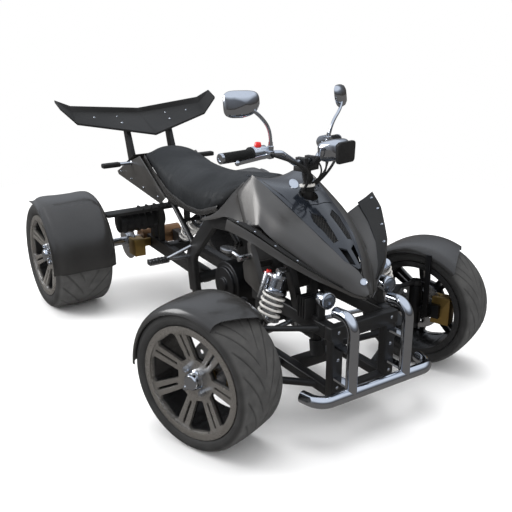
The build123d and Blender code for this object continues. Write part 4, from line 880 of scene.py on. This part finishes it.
def saddle():
    rows = []
    for y, top, width, low, half, base in SADDLE:
        mid = (top + low) / 2
        base = max(base, low + 4)
        right = [(0, top + 1), (width * 0.5, top - 2), (width * 0.85, top - 11),
                 ((width + half) / 2, (top - 22 + mid) / 2 + 6), (half, mid + 4), (half + 1, (mid + low) / 2),
                 (half - 2, low + 2), (half - 12, low), (half - 18, base), (0, base)]
        ring = right + [(-x, z) for x, z in reversed(right[1:-1])]
        rows.append([at(x, y, z) for x, z in ring + ring[:1]])
    pad = panel("saddle", rows)
    with editing(pad):
        bpy.ops.mesh.remove_doubles(threshold=1e-5)
        bpy.ops.mesh.fill_holes(sides=0)
    smoothed(outward(pad), 2)
    modified(pad, "REMESH", mode="VOXEL", voxel_size=SADDLE_VOXEL, use_smooth_shade=True)
    swell(pad)
    smoothed(pad, 1)
    keep(pad, "chassis", "seat_vinyl", "seat", angle=60)


def swell(pad):
    """Blows the cover up a little against its own stiffness, as foam does."""
    start = points_of(pad)
    activate(pad)
    bpy.ops.object.modifier_add(type="CLOTH")
    cloth = pad.modifiers[-1]
    cloth.settings.use_pressure = True
    cloth.settings.uniform_pressure_force = SWELL_PRESSURE
    cloth.settings.effector_weights.gravity = 0.0
    cloth.settings.quality = 4
    cloth.point_cache.frame_end = SWELL_FRAMES
    for number in range(1, SWELL_FRAMES + 1):
        bpy.context.scene.frame_set(number)
    bpy.ops.object.modifier_apply(modifier=cloth.name)
    bpy.context.scene.frame_set(1)
    move = points_of(pad) - start
    size = np.linalg.norm(move, axis=1, keepdims=True)
    move *= np.minimum(1, SWELL_CAP / np.maximum(size, 1e-9))
    pad.data.vertices.foreach_set("co", (start + move).ravel())
    pad.data.update()


# Springs

FRONT_COIL = {"top": (215, -705, 527), "low": (325, -695, 190), "from": 0.2, "to": 0.47, "radius": 37,
              "turns": 4}
REAR_COIL = {"top": (0, 230, 461), "low": (0, 450, 300), "from": 0.16, "to": 0.8, "radius": 30, "turns": 5}
COIL_STEPS = 36
WIRE = 4.6
COIL_SEAT = 6


def coil(row, mirrored=False):
    top, low = at(*row["top"]), at(*row["low"])
    run = low - top
    height = run.length * (row["to"] - row["from"]) - (COIL_SEAT + 2 * WIRE) / 1000
    bpy.ops.mesh.primitive_circle_add(vertices=12, radius=WIRE / 1000, rotation=(pi / 2, 0, 0),
                                      location=(row["radius"] / 1000, 0, 0))
    wire = settled(named("coil"))
    steps = row["turns"] * COIL_STEPS
    modified(wire, "SCREW", axis="Z", angle=2 * pi * row["turns"], screw_offset=height, steps=steps,
             render_steps=steps)
    with editing(wire):
        bpy.ops.mesh.fill_holes(sides=0)
    outward(wire)
    first = top + run * row["from"] + run.normalized() * (COIL_SEAT + WIRE) / 1000
    placed(wire, facing(first, run))
    return placed(wire, MIRRORED) if mirrored else wire


def springs():
    coils = [coil(FRONT_COIL), coil(FRONT_COIL, True), coil(REAR_COIL)]
    keep(joined(coils, "coil_springs"), "chassis", "spring_white", "springs", angle=60)


# Screen over the upper hood, plate and fastenings

SCREEN_SHARE = 0.86
SCREEN_STEP = 1.8
PLATE = (-17, -500)
PLATE_SIZE = (0.017, 0.032, 0.004)
WING_FRONT = ((684, 778), (817, 841))
WING_FOLD = ((886, 860), (891, 886))
WING_SPAN = 353
# how far out, and how far from the front edge to the fold
WING_BOLTS = [(255, 0.64), (135, 0.76), (132, 0.4)]
TAIL_BOLTS = [(785, 597), (662, 580), (520, 564), (366, 551)]
TAIL_X = 155
WINGLET_BOLTS = [-570, -636, -702, -765]
BULKHEAD_BOLTS = [(118, -900, z) for z in (146, 250, 350, 400)]
# radius of the screw heads
PANEL_HEAD = 5.5
TAIL_HEAD = 6
BULKHEAD_HEAD = 6.5


def screen():
    """Thin gloss shield above the grilles, a step above the hood."""
    rows = []
    for y, point in ((-418, 0), (-470, 0), (-525, 0), (-575, 0), (-606, 18)):
        half = at_row(HOOD_ROWS, y, 1) * SCREEN_SHARE
        dip = [y - point * (1 - abs(s)) for s in HOOD_SHARES]
        spots = [(half * s, d) for s, d in zip(HOOD_SHARES, dip)]
        rows.append([at(x, d, hood_height(x, d) + SCREEN_STEP) for x, d in spots])
    shield = panel("screen", rows, creased_columns=(0, 10), creased_rows=(0, 4), sharp=0.9)
    sheeted(outward(shield), SHIELD_SKIN, 2)
    keep(carved(shield, prism(column_hole(-569), 600, 820)), "chassis", "hood_black", angle=40)

    bpy.ops.mesh.primitive_cylinder_add(vertices=40, radius=1, depth=1)
    plate = named("oval_plate")
    place = facing(at(*PLATE, hood_height(*PLATE) + 6), (-0.15, -0.3, 0.94))
    placed(plate, place @ Matrix.Diagonal((*PLATE_SIZE, 1)))
    modified(plate, "BEVEL", width=0.001, segments=2, limit_method="ANGLE", angle_limit=radians(40))
    keep(plate, "chassis", "chrome")


def wing_spot(x, share):
    """Point and normal on the wing's upper face."""
    out = abs(x) / WING_SPAN
    front, fold = ([a + (b - a) * out for a, b in zip(*line)] for line in (WING_FRONT, WING_FOLD))
    y, z = (a + (b - a) * share for a, b in zip(front, fold))
    return at(x, y, z), (0, -(fold[1] - front[1]), fold[0] - front[0])


def fastenings():
    spots = []
    for sign in (1, -1):
        for x, share in WING_BOLTS:
            point, normal = wing_spot(sign * x, share)
            spots.append((point + Vector(normal).normalized() * 0.0095, normal, PANEL_HEAD))
        spots += [(at(sign * TAIL_X, y, z), (sign, 0, 0), TAIL_HEAD) for y, z in TAIL_BOLTS]
        for y in WINGLET_BOLTS:
            crease, flange = ([at_row(FLANGE, y, k, i) for i in (0, 1)] for k in (1, 2))
            x, z = (c + (f - c) * 0.86 for c, f in zip(crease, flange))
            normal = (sign * (crease[1] - flange[1]), 0, flange[0] - crease[0])
            spots.append((at(sign * x, y, z + 6), normal, PANEL_HEAD))
        spots += [(at(sign * x, y, z), (0, -1, 0), BULKHEAD_HEAD) for x, y, z in BULKHEAD_BOLTS]
    bolts("panel_bolts", "chassis", "chrome", spots)


# Handlebar fittings, drawn with the bars straight and turned with the column

BAR_END = (365, -457, 890)
BAR_BEND = (230, -487, 896)
GRIP_L = 125
GRIP_R = 17
PERCH_IN = 44.3
MIRROR = (306, -488, 1063)
MIRROR_YAW = 19
MIRROR_TILT = -9
MIRROR_HALF = (69, 44)
STALK = [(187, -523, 913), (191, -528, 969), (259, -530, 1028), (284, -512, 1047)]
CABLE_R = 5
CABLE_END_Z = 754
# harness strands: out, ahead and above the top of the column, and thickness
STRANDS = [(58, -30, 12, 3.2), (96, -34, 26, 3.6), (128, -26, 40, 3.0)]


def along(point, run):
    """Place whose X axis looks along a run."""
    return Matrix.Translation(point) @ run.to_track_quat("X", "Z").to_matrix().to_4x4()


def bar_run():
    end = at(*BAR_END)
    return end, (end - at(*BAR_BEND)).normalized()


def grips():
    end, run = bar_run()
    start = end - run * GRIP_L / 1000
    ribs = [(0, GRIP_R - 4), (0, GRIP_R + 7), (6, GRIP_R + 7), (8, GRIP_R + 0.5)]
    for i in range(22):
        x = 11 + 5 * i
        ribs += [(x, GRIP_R + 0.9), (x + 2.6, GRIP_R + 0.9), (x + 3.2, GRIP_R - 0.6), (x + 4.4, GRIP_R - 0.6)]
    sleeve = placed(spun("grip", ribs + [(124, GRIP_R), (124.5, 10)], 40), along(start, run))
    tip = placed(turned("bar_end"), along(start, run))
    paired(sleeve, "grip_sleeves", "steering", "rubber", ON_BARS, "grips")
    paired(tip, "bar_ends", "steering", "chrome", ON_BARS)


def kill_button():
    end, run = bar_run()
    middle = end - run * (GRIP_L + 29) / 1000
    red = placed(turned("kill_button"), along(middle, UP))
    keep(copied(red, "kill_button", ON_BARS[1]), "steering", "signal_red", angle=40)
    bpy.data.objects.remove(red)


def mirrors():
    """Domed heads on bent stalks; the glass faces the rider."""
    width, height = MIRROR_HALF
    bpy.ops.mesh.primitive_circle_add(vertices=44, fill_type="NGON")
    head = named("mirror_head")
    for i, vertex in enumerate(head.data.vertices):
        a = 2 * pi * i / 44
        u, v = (abs(t) ** 0.5 * (1 if t > 0 else -1) for t in (cos(a), sin(a)))
        inner_corner = max(0, -u) * max(0, -v)
        vertex.co = Vector((u * width + 16 * inner_corner, 4, v * height + 10 * inner_corner)) / 1000
    inset = Matrix.Translation((0, 0.0012, 0)) @ Matrix.Diagonal((0.92, 1, 0.9, 1))
    glass = copied(head, "mirror_glass", inset)
    with editing(head):
        for step, shrink in ((9, 0.97), (9, 0.9), (7, 0.72), (4, 0.45), (1.5, 0.2)):
            bpy.ops.mesh.extrude_region_move(TRANSFORM_OT_translate={"value": (0, -step / 1000, 0)})
            bpy.ops.transform.resize(value=(shrink, 1, shrink))
    cleaned(head)
    modified(head, "BEVEL", width=0.0025, segments=2, limit_method="ANGLE", angle_limit=radians(60))
    aimed = (Matrix.Translation(at(*MIRROR)) @ Matrix.Rotation(radians(MIRROR_YAW), 4, "Z")
             @ Matrix.Rotation(radians(MIRROR_TILT), 4, "X"))
    placed(head, aimed)
    placed(glass, aimed)
    stalk = tube_mesh("stalk", [at(*p) for p in STALK], 0.006, 5)
    foot = placed(turned("stalk_foot"), along(at(*STALK[0]), UP))
    shell = joined([head, stalk, foot], "mirror_shells")
    paired(shell, "mirror_shells", "steering", "chrome", ON_BARS, "mirrors", angle=45)
    paired(glass, "mirror_glasses", "steering", "mirror_glass", ON_BARS, angle=45)


def cable_route():
    """Knots of a control cable, from the lever perch in to the column."""
    end, run = bar_run()
    perch = end - run * (GRIP_L + PERCH_IN) / 1000
    top = at(*COLUMN_TOP)
    return [perch + Vector((0, -46.6, -4)) / 1000, perch + Vector((0, -72, -6)) / 1000,
            top + Vector((90, -66, 14)) / 1000, top + Vector((42, -42, -50)) / 1000,
            Vector((0.025, column_at(CABLE_END_Z + 6).y, CABLE_END_Z / 1000))]


def cables():
    """Two control cables, and the harness that runs with them from the band up to the bars."""
    for side, turn in zip(("left", "right"), ON_BARS):
        points = [turn @ point for point in cable_route()]
        line = tube(f"cable_{side}", points, CABLE_R / 1000)
        line.data.materials.append(FINISHES["rubber"])
        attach(line, "steering")
        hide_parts("cables")
    strands = []
    for out, ahead, rise, thick in STRANDS:
        for sign in (1, -1):
            points = [column_at(774) + Vector((sign * 0.012, -0.014, 0)),
                      column_at(795) + Vector((sign * 0.3 * out, ahead - 14, 0)) / 1000,
                      at(sign * out * 0.8, COLUMN_TOP[1] + ahead - 10, COLUMN_TOP[2] + rise - 18),
                      at(sign * out, COLUMN_TOP[1] + ahead + 18, COLUMN_TOP[2] + rise)]
            strands.append(tube_mesh("strand", points, thick / 1000, 3))
    keep(placed(joined(strands, "harness"), WITH_BARS), "steering", "rubber")


def column_boot():
    """Ribbed boot on the column above the hood, with a pale band that ties the harness."""
    boot = spun("column_boot", [(0, 17)] + ribbed(4, 5, 22, 25, 1.4, 3.2) + [(20, 17)], 36)
    keep(placed(boot, along(column_at(742), COLUMN_AXIS)), "steering", "rubber", angle=40)
    band = placed(turned("harness_band"), along(column_at(762), COLUMN_AXIS))
    keep(band, "steering", "spring_white", angle=40)


# Lamps, dampers, pegs, tail

LAMP = (135, -846, 453)
RESERVOIR_OFFSET = 63
SIGNAL = (654, 661)
PEG = (240, 128, 332)
PEG_FLAT = 0.72
NOSE = (-7, -887, 501)
NOSE_NORMAL = (-0.4, -0.7, 0.6)
POD = (0, -660, 905)
POD_TILT = -14
POD_HALF = (0.054, 0.046, 0.037)


def lamp_glasses():
    places = [along(at(sign * LAMP[0], LAMP[1] - 16, LAMP[2]), Vector((0, -1, 0))) for sign in (1, -1)]
    paired(turned("lamp_lens"), "lamp_lenses", "chassis", "lamp_glass", places, angle=45)
    paired(turned("lamp_rim"), "lamp_rims", "chassis", "chrome", places, angle=45)


def damper_trim():
    """Red cap on each reservoir and a threaded collar on each front damper."""
    top, low = at(*FRONT_COIL["top"]), at(*FRONT_COIL["low"])
    run = (low - top).normalized()
    start = top + run * 0.022 + Vector((0, RESERVOIR_OFFSET / 1000, 0))
    cap = placed(turned("reservoir_cap"), along(start, run))
    rings = [(x + 30, r) for x, r in ribbed(7, 5, 24.2, 26, 1.2, 2.6)]
    neck, flange = [(12, 9), (14, 15), (22, 17), (24, 24)], [(66, 24.2), (66, 40), (71, 40)]
    collar = placed(spun("damper_collar", neck + rings + flange, 40), along(top, run))
    both = (Matrix.Identity(4), MIRRORED)
    paired(cap, "reservoir_caps", "chassis", "signal_red", both)
    paired(collar, "damper_collars", "chassis", "chrome", both)


def tail_lights():
    """Black tapering signal on a chrome stalk, one a side."""
    bpy.ops.mesh.primitive_cube_add(size=1)
    lens = named("signal_lens")
    placed(lens, Matrix.Translation((0.26, 0, 0)) @ Matrix.Diagonal((0.09, 0.034, 0.022, 1)))
    with editing(lens) as mesh:
        pick_faces(lens, mesh, 0)
        bpy.ops.transform.resize(value=(1, 0.35, 0.5))
        bpy.ops.transform.translate(value=(0, 0.012, 0))
    modified(lens, "BEVEL", width=0.006, segments=3, limit_method="ANGLE", angle_limit=radians(30))
    stalk = turned("signal_stalk")
    shift = Matrix.Translation(at(0, *SIGNAL))
    places = (shift, shift @ MIRRORED)
    paired(lens, "signal_lenses", "chassis", "plastic_black", places, "rear_signals", angle=45)
    paired(stalk, "signal_stalks", "chassis", "chrome", places, angle=45)


def saddle_band():
    """Grey edging along the saddle's lower edge."""
    rows = []
    for y, _, _, low, half, _ in SADDLE[1:7]:
        drop = 26 if y > 250 else 2
        rows.append([at(half + 2, y, low + 24), at(half + 6, y, low + 12), at(half + 3, y, low - drop)])
    band = panel("saddle_band", rows)
    keep(both_sides(sheeted(outward(band), SKIN, 2)), "chassis", "guard_charcoal", angle=50)


def peg_sleeves():
    """Black ribbed rubber on the foot pegs."""
    ribs = ribbed(8, 10.5, 15, 18, 2, 7)
    sleeve = spun("peg_sleeve", [(-6, 0.01), (-6, 15)] + ribs + [(86, 14), (86, 0.01)], 24)
    place = Matrix.Translation(at(*PEG)) @ Matrix.Diagonal((1, 1, PEG_FLAT, 1))
    paired(sleeve, "peg_sleeves", "chassis", "rubber", (place, MIRRORED @ place))


def hood_shade_tray():
    """Near-black tray below the hood's openings, a dark sheet that stands in for the shade inside them."""
    rows = []
    for y, half, edge, _ in HOOD_ROWS[5:]:
        rows.append([at(half * share * 0.9, y, edge - 20) for share in (-1, 0, 1)])
    keep(sheeted(panel("hood_shade_tray", rows), TRAY_SKIN, 1), "chassis", "mesh_black")


def nose_disc():
    """Plain bright disc near the tip of the nose."""
    disc = placed(turned("nose_disc"), along(at(*NOSE), Vector(NOSE_NORMAL)))
    keep(disc, "chassis", "chrome", angle=40)


def instrument_pod():
    """Bulging chrome housing behind the black instrument box."""
    bpy.ops.mesh.primitive_uv_sphere_add(segments=40, ring_count=24, radius=1)
    pod = named("pod_housing")
    for vertex in pod.data.vertices:
        vertex.co = Vector([abs(v) ** 0.55 * (1 if v > 0 else -1) for v in vertex.co])
    placed(pod, Matrix.Translation(at(*POD)) @ Matrix.Rotation(radians(POD_TILT), 4, "X")
           @ Matrix.Diagonal((*POD_HALF, 1)))
    keep(placed(pod, WITH_BARS), "steering", "chrome", "instrument_pod", angle=60)


# Broken edges on the rest of the pieces, in millimetres
EDGED = {
    "front_bulkhead": 4, "frame_rails": 4, "main_spars": 5, "head_tube": 2, "cross_members": 2,
    "frame_brackets": 1.5, "battery_box": 8, "motor_casing": 4, "rear_motor": 2, "swingarm": 4,
    "rear_caliper": 3, "foot_guards": 2.5, "tail_panels": 2, "tail_plate": 2.5, "wing": 2.5,
    "wing_posts": 1.2, "foot_pegs": 1.5, "brake_pedal": 2, "rear_stay": 2, "lamps": 1.2, "dampers": 1.5,
    "bar_controls": 3, "pod_panel": 3, "steering_column": 2,
}

FLOOR_NEAR = 1.9
FLOOR_FAR = 3.4
# name, place, aim, size, power
LIGHTS = [
    ("top_box", (0.2, 0.2, 4.2), (0, 0, 0.4), 3.0, 110),
    ("side_box", (-3.0, 1.6, 2.3), (0, 0, 0.6), 1.9, 88),
    ("back_box", (2.4, 2.8, 2.6), (0, 0.2, 0.6), 2.0, 50),
]
CAMERA_AT = (-1520.1, -2539.1, 1354.2)
CAMERA_TURNS = (-32.634, 18.234, -0.277)
SENSOR = 36
# the photograph's width, focal length and optical centre in its pixels
PHOTO = 512
FOCAL = 709.3
CENTRE = (248.5, 246.8)


def paper_floor():
    """White paper that runs out to plain white, and looks dim in the chrome."""
    bpy.ops.mesh.primitive_plane_add(size=80)
    floor = named("floor")
    paper = bpy.data.materials.new("paper")
    floor.data.materials.append(paper)
    sheet = Graph(paper)
    sheen = sheet.tree.nodes["Principled BSDF"]
    sheen.inputs["Base Color"].default_value = (0.93, 0.93, 0.93, 1)
    sheen.inputs["Roughness"].default_value = 1.0
    near = Tone(sheet, sheen.outputs[0])
    spot = sheet.node("TexCoord", out="Object")
    radius = sheet.node("VectorMath", {"operation": "LENGTH"}, {0: spot}, out="Value")
    white = sheet.node("Emission", None, {"Color": (1, 1, 1, 1), "Strength": 1.0})
    dim = sheet.node("Emission", None, {"Color": (0.15, 0.142, 0.135, 1), "Strength": 1.0})
    glossy = sheet.node("LightPath", out="Is Glossy Ray")
    far = sheet.spread(radius, FLOOR_NEAR, FLOOR_FAR)
    paper_white = sheet.node("MixShader", None, {0: far, 1: near, 2: white})
    seen = sheet.node("MixShader", None, {0: glossy, 1: paper_white, 2: dim})
    sheet.feed(sheet.tree.nodes["Material Output"].inputs["Surface"], seen)


def studio():
    """Surroundings that are white to the camera, and in the chrome dark round the horizon."""
    world = bpy.context.scene.world or bpy.data.worlds.new("studio")
    bpy.context.scene.world = world
    sky = Graph(world)
    way = sky.node("TexCoord", out="Generated")
    lift = sky.node("SeparateXYZ", None, {0: way}, out="Z")
    share = sky.node("VectorMath", {"operation": "DOT_PRODUCT"}, {0: way, 1: (-0.5, 0.85, 0)}, out="Value")
    backwards = sky.spread(share, 0.1, 0.7)
    low = sky.between(backwards, (0.06, 0.054, 0.05), (0.24, 0.25, 0.27))
    high = sky.between(backwards, (0.16, 0.17, 0.19), (0.4, 0.42, 0.46))
    wall = sky.between(sky.spread(lift, 0.02, 0.3), low, high)
    dome = sky.between(sky.spread(lift, 0.3, 0.62), wall, (0.78, 0.84, 0.94))
    soft = sky.between(sky.node("LightPath", out="Is Glossy Ray"), (0.97, 0.97, 0.975), dome)
    view = sky.between(sky.node("LightPath", out="Is Camera Ray"), soft, (1, 1, 1))
    back = sky.tree.nodes["Background"]
    sky.feed(back.inputs["Color"], view)
    back.inputs["Strength"].default_value = 1.0


def soft_boxes():
    """Area lights, of which only the side one shows in the chrome."""
    for name, place, aim, size, power in LIGHTS:
        light = bpy.data.lights.new(name, "AREA")
        light.size = size
        light.energy = power
        lamp = bpy.data.objects.new(name, light)
        lamp.location = place
        lamp.rotation_euler = (Vector(aim) - Vector(place)).to_track_quat("-Z", "Y").to_euler()
        lamp.visible_glossy = name == "side_box"
        bpy.context.scene.collection.objects.link(lamp)


def photo_camera():
    """The camera that took the photograph."""
    azimuth, elevation, roll = (radians(turn) for turn in CAMERA_TURNS)
    behind = Vector((sin(azimuth) * cos(elevation), -cos(azimuth) * cos(elevation), sin(elevation)))
    right = Vector((cos(azimuth), sin(azimuth), 0))
    up = behind.cross(right)
    right, up = cos(roll) * right + sin(roll) * up, cos(roll) * up - sin(roll) * right
    camera = bpy.data.objects.new("camera", bpy.data.cameras.new("camera"))
    turn = Matrix((right, up, behind)).transposed().to_4x4()
    camera.matrix_world = Matrix.Translation(at(*CAMERA_AT)) @ turn
    camera.data.sensor_width = SENSOR
    camera.data.lens = SENSOR * FOCAL / PHOTO
    camera.data.shift_x = (PHOTO / 2 - CENTRE[0]) / PHOTO
    camera.data.shift_y = (CENTRE[1] - PHOTO / 2) / PHOTO
    camera.data.clip_end = 100
    bpy.context.scene.collection.objects.link(camera)
    bpy.context.scene.camera = camera
    bpy.context.scene.view_settings.view_transform = "Standard"


for build in (dress_wheels, front_guards, rear_guards, fairing, winglets, hood, grille_mesh, side_skins,
              saddle, springs, screen, fastenings, grips, kill_button, mirrors, cables, column_boot,
              lamp_glasses, damper_trim, tail_lights, saddle_band, peg_sleeves, hood_shade_tray, nose_disc,
              instrument_pod):
    build()
for node, width in EDGED.items():
    edged(node, width)
bpy.data.objects.remove(BOLT)
for build in (paper_floor, studio, soft_boxes, photo_camera):
    build()
